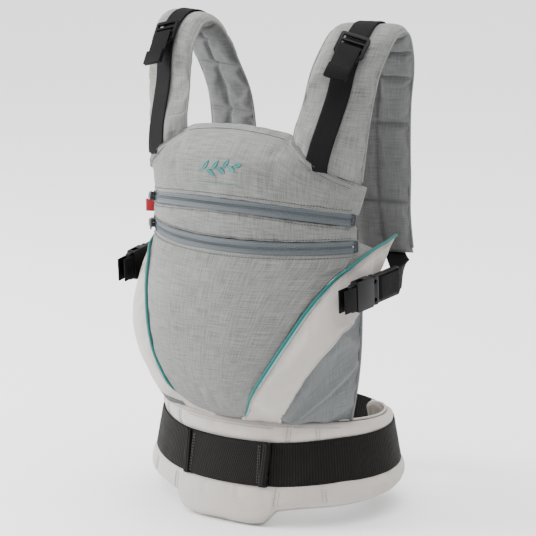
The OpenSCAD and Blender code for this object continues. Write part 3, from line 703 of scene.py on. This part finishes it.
def belt_run(name, a0, a1, out, material):
    arc = np.linspace(a0, a1, max(4, int(abs(a1 - a0) / 1.5)))
    z = web_z(arc)
    pts = loop_points(arc, z, out - WEB_T / 2)
    up = unit(loop_points(arc, z + 5, out) - loop_points(arc, z - 5, out))
    outs = unit(np.cross(unit(np.gradient(pts, axis=0)), up))
    outs *= np.sign(np.sum(outs * pts * [1, 1, 0], axis=1))[:, None]
    return strip(name, pts, up, outs, BELT_WEB, WEB_T, material)


def loose_webbing():
    """The loose run to the hip tongue and the free end over it."""
    runs = [belt_run("belt_webbing_loose_run", -LOOSE_STOP, -WEB_LOOSE, 0.15, BELT_RIBS),
            belt_run("belt_webbing_free_end", -FREE_STOP, -WEB_LOOSE, WEB_T + 0.5, BELT_RIBS)]
    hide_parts("belt_webbing_end")
    for run in runs:
        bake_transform(run)


def front_fold(name, side):
    """The front piece folds back on itself at each end."""
    arc = side * np.array([WEB_FOLD - 2.6, WEB_FOLD - 1.2, WEB_FOLD, WEB_FOLD + 0.8, WEB_FOLD + 0.5])
    out = np.array([WEB_T + 1.1, WEB_T + 2.0, WEB_T + 2.1, WEB_T + 0.9, -0.3])
    pts = loop_points(arc, 0 * arc, out)
    above = loop_points(arc + side * 0.8, 0 * arc + 22, out)
    tilt = unit(above - loop_points(arc - side * 0.8, 0 * arc - 22, out))
    outs = unit(np.cross(np.gradient(pts, axis=0), tilt))
    outs *= np.sign(np.sum(outs * unit(pts * [1, 1, 0]), axis=1))[:, None]
    place(strip(name, pts, tilt, outs, BELT_WEB + 0.4, 1.5, BELT_RIBS), "webbing")


def fold_stitches():
    stitches = Threads()
    for side in (-1, 1):
        for a in (WEB_FOLD - 3.4, WEB_FOLD - 4.2):
            line = [loop_points(np.array(side * a), z, WEB_T + 0.75) for z in np.arange(-20, 21, 1.6)]
            for i in range(0, len(line) - 1, 2):
                stitches.add(line[i], line[i + 1], unit(line[i] * [1, 1, 0]), 0.3)
    place(stitches.build("belt_webbing_stitches", BLACK_THREAD), "webbing")


def make_belt_webbing():
    left = belt_run("belt_webbing_left_run", -WEB_LOOSE, -WEB_FOLD - 0.5, 0.15, BELT_RIBS)
    place(left, "webbing", "belt_webbing_sides")
    place(belt_run("belt_webbing_right_run", WEB_FOLD + 0.5, WEB_STOP, 0.15, BELT_RIBS), "webbing")
    loose_webbing()
    end = WEB_FOLD + 0.4
    place(belt_run("belt_webbing_front_run", -end, end, WEB_T + 0.35, BELT_TWILL), "webbing",
          "belt_webbing_centre")
    place(belt_run("belt_webbing_front_under", -WEB_FOLD, WEB_FOLD, 0.1, BELT_RIBS), "webbing")
    front_fold("belt_fold_left", -1)
    front_fold("belt_fold_right", 1)
    fold_stitches()


# ---------------------------------------------------------------- pouch


def panel_pad(name, x, z, nodes, radius=3.2, grow=0.012, pressure=1.6, crease=None, cap=2.4):
    middle = panel_points(x, z, PANEL_PAD / 2)
    rumple = 0.55 * wobble(middle, 38, 1.0) + 0.3 * wobble(middle, 15, 5.0)
    middle = middle + normals(middle) * rumple[..., None]
    n, m = x.shape
    row = np.linalg.norm(np.diff(middle, axis=0), axis=-1).sum(axis=0).max()
    col = np.linalg.norm(np.diff(middle, axis=1), axis=-1).sum(axis=1).max()
    half = (PANEL_PAD / 2) * rounded_edge(n, m, row, col, radius)
    obj, face, back = pad(name, middle, half, GREY)
    rim = rim_of(face)
    pins = [rim, back.ravel()]
    if crease is not None:
        pins.append(face[crease])
    simulate(obj, np.concatenate(pins), pressure, grow=grow, cap=cap)
    finish_soft(obj)
    place(obj, "grey_fabric", *nodes)
    return obj


def spread(n, lo, hi, tight=0.0):
    """n numbers from lo to hi, closer together at both ends."""
    u = np.linspace(0, 1, n)
    return mix(lo, hi, u - tight * np.sin(2 * math.pi * u) / (2 * math.pi))


def make_panels():
    gap = TAPE_W / 2 - 1.2
    u, v = np.meshgrid(spread(80, -1, 1, 0.6), spread(62, 0, 1, 0.5), indexing="ij")
    z = mix(44.5, ZIP_LOW_Z - gap, v)
    crease = np.abs(z - (ZIP_LOW_Z - gap - 4)) < 1.2
    main = panel_pad("panel_main_cloth", u * (half_width(z) - 0.5), z, ["panel_main"], crease=crease)
    u, v = np.meshgrid(spread(80, -1, 1, 0.6), spread(14, 0, 1, 0.5), indexing="ij")
    x = u * (PANEL_W - 0.3)
    z = mix(ZIP_LOW_Z + gap, zip_gap(x, ZIP_UP_Z, ZIP_DROP) - gap, v)
    middle = panel_pad("panel_strip_cloth", x, z, ["panel_strip"], pressure=1.4, grow=0.015)
    u, v = np.meshgrid(spread(84, -1, 1, 0.5), spread(34, 0, 1, 0.6), indexing="ij")
    x = u * mix(PANEL_W + 1, SHOULDER_X, v)
    z = mix(zip_gap(x, ZIP_UP_Z, ZIP_DROP) + gap, crown(x), v)
    crease = np.abs(z - (zip_gap(x, ZIP_UP_Z, ZIP_DROP) + gap + 4)) < 1.2
    upper = panel_pad("panel_top_cloth", x, z, ["panel_top"], crease=crease, radius=3.6)
    make_lining()
    return main, middle, upper


def make_lining():
    u, v = np.meshgrid(np.linspace(-1, 1, 50), np.linspace(0, 1, 60), indexing="ij")
    top = crown(u * SHOULDER_X) - 2.0
    z = mix(42.0, top, v)
    x = u * np.minimum(half_width(z), mix(PANEL_W, SHOULDER_X, v))
    middle = panel_points(x, z, PANEL_PAD + 1.9)
    middle = middle + normals(middle) * (0.3 * wobble(middle, 30, 2.0))[..., None]
    n, m = x.shape
    obj, _, _ = pad("pouch_lining", middle, 0.8 * rounded_edge(n, m, 270, 300, 2), INNER)
    finish_soft(obj)
    place(obj, "lining", "panel_lining")


def make_panel_stitches(main, middle, upper):
    rows = Threads()
    x = np.linspace(-126, 126, 160)
    for obj, z in ((main, ZIP_LOW_Z - 10.5 + 0 * x), (middle, ZIP_LOW_Z + 9.6 + 0 * x),
                   (middle, zip_gap(x, ZIP_UP_Z, ZIP_DROP) - 9.6),
                   (upper, zip_gap(x, ZIP_UP_Z, ZIP_DROP) + 10.8)):
        line = panel_points(x, z)
        out = unit(line - [0, PANEL_Y + PANEL_R, 0]) * [1, 1, 0]
        stitch(rows, surface_of(obj), line, out, 3.4, 0.6, 0.46)
    tree = surface_of(upper)
    sx = np.linspace(-CORNER_X + 2, CORNER_X - 2, 80)
    line = panel_points(sx, crown(sx) - 4.5)
    stitch(rows, tree, line, np.array([0, -1.0, 0.25]), 3.0, 0.66, 0.46)
    place(rows.build("panel_stitches", GREY_THREAD), "grey_fabric")


def shoulder_welts():
    """Raised folded seams where the straps join the panel."""
    sx = np.linspace(CORNER_X + 1, SHOULDER_X - 9, 40)
    pts = panel_points(sx, crown(sx) - 4.8, -1.3)
    outs = unit((pts - [0, PANEL_Y + PANEL_R, 0]) * [1, 1, 0])
    ways = unit(np.cross(unit(np.gradient(pts, axis=0)), outs))
    for side in ("right", "left"):
        welt = strip("shoulder_welt_" + side, pts, ways, outs, 7.0, 2.6, GREY, mirror=side == "left")
        finish_soft(welt)
        place(welt, "grey_fabric")
        rows = Threads()
        tree = surface_of(welt)
        flip = np.array([-1 if side == "left" else 1, 1, 1])
        for off in (-2.3, 2.3):
            stitch(rows, tree, (pts + ways * off)[1:-1] * flip, (outs * flip)[1:-1], 3.0, 0.66, 0.4)
        place(rows.build("shoulder_welt_stitches_" + side, GREY_THREAD), "grey_fabric")


def side_wings():
    """Cloth that runs back from each edge of the panel to the top of the side band."""
    v, u = np.meshgrid(np.linspace(0, 1, 16), np.linspace(0, 1, 16), indexing="ij")
    z = mix(216, 247, u)
    edge = panel_points(half_width(z) - 2.5, z, 3.5)
    share = (len(PIPING_X) - 1) / (len(PIPING_X) + len(PIPING_TAIL) - 1)
    seam = piping_line(mix(share, share + 0.115, u)) + [-1.0, 0, -1.5]
    middle = edge + (seam - edge) * v[..., None]
    for side in ("right", "left"):
        wing, _, _ = pad("side_wing_" + side, middle, 1.2 * rounded_edge(16, 16, 40, 30, 2), GREY,
                         mirror=side == "left")
        finish_soft(wing)
        place(wing, "grey_fabric")


# ---------------------------------------------------------------- zips


class ZipFrame:
    """A zip lies on an arc of radius r about an axis that leans by tilt."""

    def __init__(self, name, centre, radius, tilt):
        self.name, self.c, self.r = name, np.array(centre, float), radius
        self.axis = np.array([0, math.sin(tilt), math.cos(tilt)])
        self.fore = np.array([0, -math.cos(tilt), math.sin(tilt)])

    def point(self, degrees, out=0.0, up=0.0):
        a = np.radians(np.asarray(degrees, float))[..., None]
        way = np.sin(a) * [1, 0, 0] + np.cos(a) * self.fore
        return self.c + way * (self.r + out) + self.axis * up, way

    def bar(self, threads, deg, up, deg_end, up_end, out, radius):
        """One thread from (deg, up) to (deg_end, up_end) on the zip."""
        a, way = self.point(deg, out, up)
        b, _ = self.point(deg_end, out, up_end)
        threads.add(a, b, way, radius)


def zip_frames():
    end_y = PANEL_Y + PANEL_R - math.sqrt(PANEL_R**2 - ZIP_END_X**2)
    run = end_y - PANEL_Y
    tilt = math.atan(ZIP_DROP / run)
    rise = run / math.cos(tilt)
    r = (ZIP_END_X**2 + rise**2) / (2 * rise)
    upper = ZipFrame("upper", (0, PANEL_Y + r * math.cos(tilt), ZIP_UP_Z - r * math.sin(tilt)), r, tilt)
    return upper, ZipFrame("lower", (0, PANEL_Y + PANEL_R, ZIP_LOW_Z), PANEL_R, 0.0)


def zip_tapes(z):
    arc = np.linspace(-56, 56, 110)
    half = TAPE_W / 4 - 0.15
    for part, sign in (("upper", 1), ("lower", -1)):
        pts, outs = z.point(arc, -0.9, sign * (half + 0.25))
        ways = np.tile(z.axis, (len(arc), 1))
        tape = strip("zip_%s_tape_%s" % (z.name, part), pts, ways, outs, 2 * half, 1.6, TAPE)
        place(tape, "zip_tape", *(["zip_tape_" + z.name] if sign > 0 else []))
        for off in (1.7, 5.0):
            ridge, _ = z.point(arc, -0.12, sign * off)
            place(tube("zip_%s_ridge_%s_%d" % (z.name, part, off), ridge, 0.42, TAPE, 6), "zip_tape")


def zip_teeth(z):
    teeth = Threads()
    step = math.degrees(1.5 / z.r)
    for k, deg in enumerate(np.arange(-53.5, 53.5, step)):
        lean = 1 if k % 2 else -1
        z.bar(teeth, deg - 0.08 * lean, -1.7 * lean, deg + 0.08 * lean, 1.2 * lean, 0.25, 0.52)
    place(teeth.build("zip_%s_teeth" % z.name, COIL), "zip_coil", "zip_coil_" + z.name)


def zip_stops(z):
    """Metal stops across the coil, and a crimped frame round each end of the tape."""
    stops = Threads()
    for side in (-1, 1):
        for up in (-5.2, 5.2):
            z.bar(stops, side * 54.0, up, side * 55.6, up, 0.4, 0.8)
        z.bar(stops, side * 55.4, -5.6, side * 55.4, 5.6, 0.4, 0.85)
        z.bar(stops, side * 54.2, -1.8, side * 54.2, 1.8, 0.5, 1.2)
    place(stops.build("zip_%s_stops" % z.name, ZIP_METAL), "zip_metal")


def zip_tape_stitches(z):
    rows = Threads()
    for sign in (-1, 1):
        for up in (3.3, 6.3):
            for deg in np.arange(-55, 55, 1.0):
                z.bar(rows, deg, sign * up, deg + 0.65, sign * up, -0.05, 0.28)
    place(rows.build("zip_%s_tape_stitches" % z.name, GREY_THREAD), "zip_tape")


def make_zip(z):
    zip_tapes(z)
    zip_teeth(z)
    zip_stops(z)
    zip_tape_stitches(z)


# ---------------------------------------------------------------- bands, piping and gussets


def band_surface(n=26, m=90):
    v, t = np.meshgrid(spread(n, 0, 1, 0.4), np.linspace(0, 1, m), indexing="ij")
    a, b = piping_line(t), along(BAND_LOW, t)
    across = b - a
    way = unit(piping_line(np.minimum(1, t + 0.01)) - piping_line(np.maximum(0, t - 0.01)))
    face = unit(np.cross(across, way))
    face *= np.sign(face[..., 0:1] - face[..., 1:2])
    top = a + across * v[..., None] + face * (4 * np.sin(math.pi * v) * smooth(5 * t))[..., None]
    # the foot is sewn down inside the belt's rim
    top[..., 2] -= 6.5 * (1 - smooth(14 * t))
    return top, face, t, v


def make_bands():
    top, face, t, v = band_surface()
    middle = top - face * 2.5
    # the buckle's pull and the piping gather the cloth into short folds
    gather = np.exp(-(v / 0.16)**2) * np.sin(t * 150) * 0.35
    dents = 0.7 * wobble(middle, 26, 4.0) * smooth(8 * (1 - t)) * np.sin(math.pi * v)
    middle = middle + face * (gather + dents)[..., None]
    n, m = t.shape
    half = 2.5 * rounded_edge(n, m, 70, 240, 3)
    band, ids, back = pad("band_right_cloth", middle, half, PALE, out=face, turn_cloth=True)
    rim = rim_of(ids)
    simulate(band, np.concatenate([rim, back.ravel()]), 1.6, grow=0.02, cap=2.6)
    finish_soft(band)
    left = mirrored(band, "band_left_cloth")
    place(band, "pale_fabric", "band_right")
    place(left, "pale_fabric", "band_left")
    tree = surface_of(band)
    for side in ("right", "left"):
        rows = Threads()
        for inset in (0.045, 0.085):
            line = top[0] * (1 - inset) + top[-1] * inset
            stitch(rows, tree, line[4:-3], face[0][4:-3], 3.0, 0.66, 0.3)
        line = top[0] * 0.05 + top[-1] * 0.95
        stitch(rows, tree, line[6:-3], face[-1][6:-3], 3.0, 0.66, 0.3)
        place(rows.build("band_stitches_" + side, PALE_THREAD, mirror=side == "left"), "pale_fabric")


def make_piping():
    t = np.linspace(0, 1, 150)
    line = piping_line(t) + [0.3, -1.6, 0.5]
    way = unit(np.gradient(line, axis=0))
    toward = unit(along(BAND_LOW, t) - piping_line(t))
    out = unit(np.cross(toward, way))
    out *= np.sign(out[:, 0:1] - out[:, 1:2])
    for side in ("right", "left"):
        flip = side == "left"
        cord = tube("piping_%s_cord" % side, line, 1.75, PIPING, 12, flip)
        place(cord, "teal_trim", "piping_" + side)
        # a pale strip along the band side of the cord, its colour a painted highlight of the piping
        highlight_flange = strip("piping_%s_flange" % side, line + toward * 2.3 - out * 0.7, toward, out, 2.6, 0.9,
                       PIPING_HIGHLIGHT, flip)
        place(highlight_flange, "teal_trim")


def make_gussets():
    n, m = 44, 40
    t, v = np.meshgrid(spread(n, 0.08, 1, 0.3), np.linspace(0, 1, m), indexing="ij")
    a = along(GUSSET_FOOT, t) - [0, 0, 3.5]
    b = mix(along(BAND_LOW, t), piping_line(t), 0.08) - [1, 0, 0]
    out = unit(np.stack([0.6 + 0.4 * t, -0.7 + 0.5 * t, 0 * t], axis=-1))
    top = a + (b - a) * v[..., None] + out * (5 * np.sin(math.pi * v) * smooth(3 * t))[..., None]
    # a long fold rises from the front corner to the back edge, with softer ones above it
    fold = 0.18 + 0.34 * t
    crest = 4.2 * np.exp(-((v - fold - 0.07) / 0.055)**2) - 3.6 * np.exp(-((v - fold) / 0.045)**2)
    soft = 1.6 * np.sin((v * 2.1 - t * 1.3) * math.pi * 2) * np.sin(math.pi * v)
    folds = crest * smooth(t * 4) * smooth((1 - t) * 7) + soft * smooth((1 - t) * 9)
    lift = -3.0 - 4.5 * (1 - smooth(t * 7)) + folds * np.sin(math.pi * np.clip(v, 0.02, 1))
    middle = top + out * lift[..., None]
    half = 1.6 * rounded_edge(n, m, 80, 120, 2)
    gusset, ids, back = pad("gusset_right_cloth", middle, half, GUSSET, out=out)
    rim = rim_of(ids)
    simulate(gusset, np.concatenate([rim, back.ravel()]), 1.0, grow=0.03, cap=3.0)
    finish_soft(gusset)
    left = mirrored(gusset, "gusset_left_cloth")
    place(gusset, "gusset_fabric", "gusset_right")
    place(left, "gusset_fabric", "gusset_left")
    hem = top[-1] - out[-1] * 2.6
    for side in ("right", "left"):
        place(tube("gusset_hem_" + side, hem, 1.9, GUSSET, 8, side == "left"), "gusset_fabric")


# ---------------------------------------------------------------- shoulder straps

# Shares of the strap's length where the quilted face is sewn through
QUILT_ROWS = (0.10, 0.20, 0.30, 0.385, 0.46, 0.54, 0.625, 0.745, 0.91)


def strap_surface(n, m):
    v, t = np.meshgrid(np.sin(np.linspace(-1, 1, n) * math.pi / 2), np.linspace(0.0, 1, m), indexing="ij")
    return strap_middle(t, v), strap_out(t), t, v


def make_straps():
    n, m = 27, 170
    middle, out, t, v = strap_surface(n, m)
    edge = np.sqrt(np.maximum(0.0, 1 - np.abs(v)**5))
    from_end = np.clip(np.minimum(np.arange(m), np.arange(m)[::-1]) / 2.5, 0, 1)
    ends = np.sqrt(np.clip(1 - (1 - from_end)**2, 0, 1))
    half = edge * strap_thick(t) / 2 * ends[None, :]
    cross = sum(np.exp(-((t - q) / 0.0075)**2) for q in QUILT_ROWS)
    spine = np.exp(-(v / 0.07)**2)
    seam = np.clip(cross + spine, 0, 1)
    strap, face, back = pad("strap_right_pad", middle, half, STRAP_GREY, QUILT, out=out)
    co = np.array([q.co[:] for q in strap.data.vertices]) / MM
    inner = back.ravel()
    co[inner] += (out * (half * 0.85 * seam)[..., None]).reshape(-1, 3)
    inside = face[1:-1, 1:-1].ravel()
    rail = (middle[..., 1] > 20) & (np.abs(middle[..., 2] - 290) < 62)
    nip = 0.9 * wobble(co[inside], 34, 6.0) * (1 - spine[1:-1, 1:-1].ravel()) * ~rail[1:-1, 1:-1].ravel()
    co[inside] += out[1:-1, 1:-1].reshape(-1, 3) * nip[:, None]
    strap.data.vertices.foreach_set("co", (co * MM).ravel())
    rim = rim_of(face)
    under_web = (np.abs(v) < 0.4) & (t < 0.56)
    pins = np.concatenate([rim, back[seam > 0.45], face[under_web], face[rail]])
    simulate(strap, pins, 6.0, grow=0.03, cap=4.0, frames=20)
    finish_soft(strap)
    left = mirrored(strap, "strap_left_pad")
    for side, obj in (("right", strap), ("left", left)):
        place(obj, "grey_fabric", *("strap_%s_%s" % (k, side) for k in ("cover", "foam", "lining")))
    tree = surface_of(strap)
    rows = Threads()
    ts = np.linspace(0.02, 0.985, 240)
    line = strap_middle(ts, 0 * ts)
    stitch(rows, tree, line, -strap_out(ts), 3.4, 0.6, 0.32)
    for q in QUILT_ROWS:
        row = np.full(30, q)
        line = strap_middle(row, np.linspace(-0.9, 0.9, 30))
        stitch(rows, tree, line, -strap_out(row), 3.4, 0.6, 0.32)
    for side in ("right", "left"):
        place(rows.build("strap_stitches_" + side, GREY_THREAD, mirror=side == "left"), "grey_fabric")
    # a welt runs round each edge where cover and lining are joined
    for name, w in (("outer", 1.0), ("inner", -1.0)):
        pts = strap_middle(ts, w * (1 + 0.2 / strap_half(ts)))
        for side in ("right", "left"):
            welt = tube("strap_welt_%s_%s" % (name, side), pts, 1.25, STRAP_GREY, 8, side == "left")
            place(welt, "grey_fabric")


def laid(t, lift):
    mid = strap_middle(t, 0 * t) + strap_out(t) * (strap_thick(t) / 2 + lift)[:, None]
    return mid, strap_width_way(np.maximum(t, SLANT_END)), strap_out(t)


def make_lifters():
    for side in ("right", "left"):
        flip = side == "left"
        for part, t0, t1 in (("lower", 0.0, LOCK_T - 0.012), ("upper", LOCK_T - 0.008, 0.56)):
            ts = np.linspace(t0, t1, 60)
            # the upper run dives into a seam over the shoulder, the lower one in under the shoulder seam
            pts, ways, outs = laid(ts, 1.1 + WEB_T / 2 - 3.5 * smooth((ts - 0.545) / 0.015))
            if part == "lower":
                down = unit(pts[0] - pts[4])
                run = np.linspace(8, 0.8, 12)[:, None]
                pts = np.concatenate([pts[0] + down * run - outs[0] * 6.0 * smooth((run - 0.8) / 5), pts])
                ways, outs = (np.concatenate([np.tile(a[0], (12, 1)), a]) for a in (ways, outs))
            ways = unit(ways - outs * np.sum(ways * outs, axis=1, keepdims=True))
            web = strip("lifter_%s_%s" % (part, side), pts, ways, outs, STRAP_WEB, WEB_T, WEB, flip)
            place(web, "webbing", *(["lifter_webbing_" + side] if part == "lower" else []))


# ---------------------------------------------------------------- rigid pieces


def hardware(name, material, slot, body=CARRIER, width=0.45):
    """A moulded piece: its CAD solid with its edges rounded off."""
    data = NODES[name].data.copy()
    data.materials.clear()
    data.materials.append(material)
    obj = bpy.data.objects.new(name + "_moulded", data)
    bpy.context.scene.collection.objects.link(obj)
    bm = bmesh.new()
    bm.from_mesh(data)
    bmesh.ops.remove_doubles(bm, verts=bm.verts, dist=0.00002)
    bmesh.ops.dissolve_limit(bm, angle_limit=math.radians(1.5), verts=bm.verts, edges=bm.edges)
    bm.to_mesh(data)
    bm.free()
    bevel = obj.modifiers.new("edge", "BEVEL")
    bevel.width = width * MM
    bevel.segments = 3
    bevel.limit_method = "ANGLE"
    bevel.angle_limit = math.radians(35)
    bevel.use_clamp_overlap = True
    dep = bpy.context.evaluated_depsgraph_get()
    done = bpy.data.meshes.new_from_object(obj.evaluated_get(dep))
    obj.modifiers.clear()
    obj.data = done
    done.shade_smooth()
    done.set_sharp_from_angle(angle=math.radians(32))
    place(obj, slot, name, body=body)


BODIES = {}
for body_name, nodes in frame["record"]["behaviour"]["bodies"].items():
    for node_name in nodes:
        BODIES[node_name] = body_name


def make_hardware():
    for name in NODES:
        if any(k in name for k in ("socket", "tongue", "prong", "button", "ladder_lock", "chest_clips")):
            hardware(name, BLACK, "black_plastic", BODIES[name])
        elif name.startswith(("zip_slider", "zip_pull")):
            hardware(name, ZIP_METAL, "zip_metal", BODIES[name], 0.3)
        elif name.startswith(("side_anchor", "lifter_tail", "chest_webbing")):
            hardware(name, WEB, "webbing", BODIES[name], 0.4)


# ---------------------------------------------------------------- straps' lower ends


# Middle of the side buckle, the way its tongue leaves and its outward face
SIDE_BUCKLE, SIDE_AXIS, SIDE_FACE = (146, -50, 194), (0.1, 0.99, 0.06), (0.99, -0.1, 0)
TONGUE_BASE, SIDE_REACH = 9.0, 42.0


def make_strap_ends():
    """Webbing from each strap's lower end to its buckle. The piece threaded through the tongue rides on the
    tongue.
    """
    axis = unit(np.array(SIDE_AXIS))
    face = unit(np.array(SIDE_FACE) - axis * np.dot(SIDE_FACE, axis))
    up = unit(np.cross(face, axis))
    up *= np.sign(up[2])
    origin = np.array(SIDE_BUCKLE, float)
    bar = origin + axis * (TONGUE_BASE + SIDE_REACH + 0.8)
    foot = strap_middle(np.array([1.0]), np.array([0.1]))[0] + [4, 2, 8]
    u = np.linspace(0, 1, 48)
    w = u[:, None]
    pts = ((1 - w)**3 * foot + 3 * (1 - w)**2 * w * (foot + [3, 3, -20])
           + 3 * (1 - w) * w**2 * (bar + axis * 20) + w**3 * bar)
    first, last = np.array([0.93, 0.2, -0.12]), np.array([0, -0.06, 1])
    ways = unit(first + (last - first) * smooth(u)[:, None])
    outs = unit(np.cross(unit(np.gradient(pts, axis=0)), ways))
    for side in ("right", "left"):
        flip = side == "left"
        web = strip("strap_end_%s_webbing" % side, pts, ways, outs, STRAP_WEB, WEB_T, WEB, flip)
        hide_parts("strap_end_" + side)
        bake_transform(web)
        # it is threaded through the tongue's slots, and its free end lies back over them
        thread_webbing("tongue_webbing_" + side, origin, axis, face, STRAP_WEB,
                       [52, 50.5, 48.5, 46, 44, 40, 34, 27, 20, 15.5, 13.4, 12.6],
                       [0, 2.2, 3.6, 3.9, 3.8, 3.6, 3.5, 3.5, 3.6, 3.3, 1.5, -1.5],
                       side + "_tongue", WEB, flip)


def make_buckle_webbing():
    """Webbing threaded through both halves of the waist buckle and of the chest buckle."""
    hip_face = unit(np.array([0, 1.0, BELT_FLARE]))
    back = np.array([-1.0, 0, 0])
    hip, chest = np.array([-10, BELT_RY - 4, WEB_CLIMB]), np.array([-4, 75.4, 284.0])
    thread_webbing("hip_tongue_webbing", hip, back, hip_face, BELT_WEB,
                   [38, 35, 32, 29.5, 26, 21, 17, 15, 13.4, 12.6],
                   [-2.8, -1.5, 1.2, 3.0, 3.5, 3.5, 3.5, 3.1, 1.5, -1.5], "hip_tongue", BELT_RIBS)
    thread_webbing("hip_socket_webbing", hip, back, hip_face, BELT_WEB,
                   [-52, -50, -48.5, -46.5, -44.6, -43.4, -42.8],
                   [-3.0, -1.4, 1.8, 3.6, 3.2, 1.4, -1.4], CARRIER, BELT_RIBS)
    face = np.array([0, 1.0, 0])
    thread_webbing("chest_tongue_webbing", chest, back, face, 20, [27, 25, 23, 21, 18, 15.4, 13.6, 12.8],
                   [0, 1.3, 2.8, 3.4, 3.5, 3.1, 1.5, -1.5], "chest_tongue", WEB)
    thread_webbing("chest_socket_webbing", chest, back, face, 20, [-36, -34, -32, -30, -28.4, -27.3, -26.8],
                   [0, 1.5, 3.2, 3.4, 2.8, 1.2, -1.4], "chest_strap", WEB)


def thread_webbing(name, origin, axis, face, width, x, z, body, material, flip=False):
    """Webbing over a buckle's bar, from points along the buckle's axis and above its middle plane."""
    up = unit(np.cross(face, axis))
    loop = origin + axis * resample_run(x)[:, None] + face * resample_run(z)[:, None]
    ups = np.tile(up, (len(loop), 1))
    outs = unit(np.cross(ups, unit(np.gradient(loop, axis=0))))
    outs *= np.sign(outs @ face)[:, None]
    outs[np.abs(outs @ face) < 0.1] = face
    place(strip(name, loop, ups, outs, width, 1.6, material, flip), "webbing", body=body)


def resample_run(values, n=36):
    at = np.linspace(0, len(values) - 1, n)
    return np.interp(at, np.arange(len(values)), values)


# ---------------------------------------------------------------- sprig and tab

SPRIG_Z = 326


def make_sprig(cloth):
    """Embroidered sprig of leaves and a long running stitch under it."""
    tree = surface_of(cloth)
    rows = Threads()
    out = np.array([0.0, -1.0, 0.0])

    def put(x, z, x2, z2, radius):
        a = panel_points(np.array(float(x)), float(z))
        b = panel_points(np.array(float(x2)), float(z2))
        pts = settle(tree, np.array([a, b]), np.tile(out, (2, 1)), 0.25)
        rows.add(pts[0], pts[1], out, radius)

    def stem(x):
        return SPRIG_Z - 3 + 5 * math.sin(x / 24)

    for k in np.arange(-23, 19, 1.5):
        put(k, stem(k), k + 2, stem(k + 2), 0.5)
    for k, side in enumerate((1, -1, 1, -1, 1, -1, 0)):
        root = (-19 + 6.5 * k, stem(-19 + 6.5 * k))
        turn = math.radians(12 + 42 * side)
        run, wide = 12.5 - 0.6 * k, 2.7
        way = (math.cos(turn), math.sin(turn))
        for s in np.arange(0.06, 1.0, 0.055):
            w = wide * math.sin(math.pi * s**0.8)
            mx, mz = root[0] + way[0] * run * s, root[1] + way[1] * run * s
            lean = 0.9 * w
            # satin stitches slant from the middle vein to both edges
            put(mx, mz, mx - way[1] * w + way[0] * lean * 0.5, mz + way[0] * w + way[1] * lean * 0.5, 0.42)
            put(mx, mz, mx + way[1] * w + way[0] * lean * 0.5, mz - way[0] * w + way[1] * lean * 0.5, 0.42)
    for k in np.arange(-26, 25, 3.0):
        put(k, SPRIG_Z - 19, k + 2.1, SPRIG_Z - 19, 0.4)
    place(rows.build("leaf_sprig", TEAL_THREAD), "teal_trim", "motif")


def make_tab():
    """Red cloth tab folded over the panel's left edge."""
    hardware("side_label", RED, "red_label", CARRIER, 0.5)


# ---------------------------------------------------------------- floor, light and camera


def area_light(name, place_at, target, size, power, tint=(1, 1, 1)):
    data = bpy.data.lights.new(name, "AREA")
    data.size, data.energy, data.color = size, power, tint
    obj = bpy.data.objects.new(name, data)
    obj.location = place_at
    obj.rotation_euler = (Vector(target) - Vector(place_at)).to_track_quat("-Z", "Y").to_euler()
    bpy.context.scene.collection.objects.link(obj)


def make_stage():
    low = CAD_BOX[0][2] - 0.0005
    floor_mat = plastic("studio_floor", (0.93, 0.93, 0.93), (0.90, 0.90, 0.90), 0.8, 0.0)
    bpy.ops.mesh.primitive_plane_add(size=12, location=(0, 0, low))
    floor = bpy.context.object
    floor.name = "floor"
    floor.data.materials.append(floor_mat)
    world = bpy.data.worlds.new("studio")
    world.use_nodes = True
    sky = world.node_tree.nodes["Background"].inputs
    sky["Color"].default_value = (1, 1, 1, 1)
    sky["Strength"].default_value = 0.85
    bpy.context.scene.world = world
    aim = (0, 0, 0.2)
    area_light("key", (-2.0, -1.1, 0.9), aim, 0.9, 105)
    area_light("top", (0.1, 0.2, 2.2), aim, 1.5, 30)
    sun = bpy.data.lights.new("sky", "SUN")
    sun.energy, sun.angle = 4.0, math.radians(80)
    bpy.context.scene.collection.objects.link(bpy.data.objects.new("sky", sun))


# Camera: direction in degrees, point it looks at and distance in metres, field in units of the frame
VIEW, AIM, AWAY = (32, 13), (-0.0094, -0.0059, 0.191), 2.4
SENSOR, FRAME_FIELD = 36, 2400 * 0.9 / 536


def make_camera():
    azimuth, elevation = (math.radians(a) for a in VIEW)
    back = Vector((math.sin(azimuth) * math.cos(elevation), -math.cos(azimuth) * math.cos(elevation),
                   math.sin(elevation)))
    data = bpy.data.cameras.new("camera")
    data.sensor_width = SENSOR
    data.lens = SENSOR * FRAME_FIELD
    cam = bpy.data.objects.new("camera", data)
    cam.location = Vector(AIM) + back * AWAY
    cam.rotation_mode = "QUATERNION"
    cam.rotation_quaternion = back.to_track_quat("Z", "Y")
    bpy.context.scene.collection.objects.link(cam)
    bpy.context.scene.camera = cam


# ---------------------------------------------------------------- run

make_belt()
make_belt_webbing()
panels = make_panels()
make_panel_stitches(*panels)
shoulder_welts()
side_wings()
for zip_frame in zip_frames():
    make_zip(zip_frame)
make_bands()
make_piping()
make_gussets()
make_straps()
make_lifters()
make_hardware()
make_strap_ends()
make_buckle_webbing()
make_sprig(panels[2])
make_tab()
make_stage()
make_camera()
bpy.context.view_layer.update()
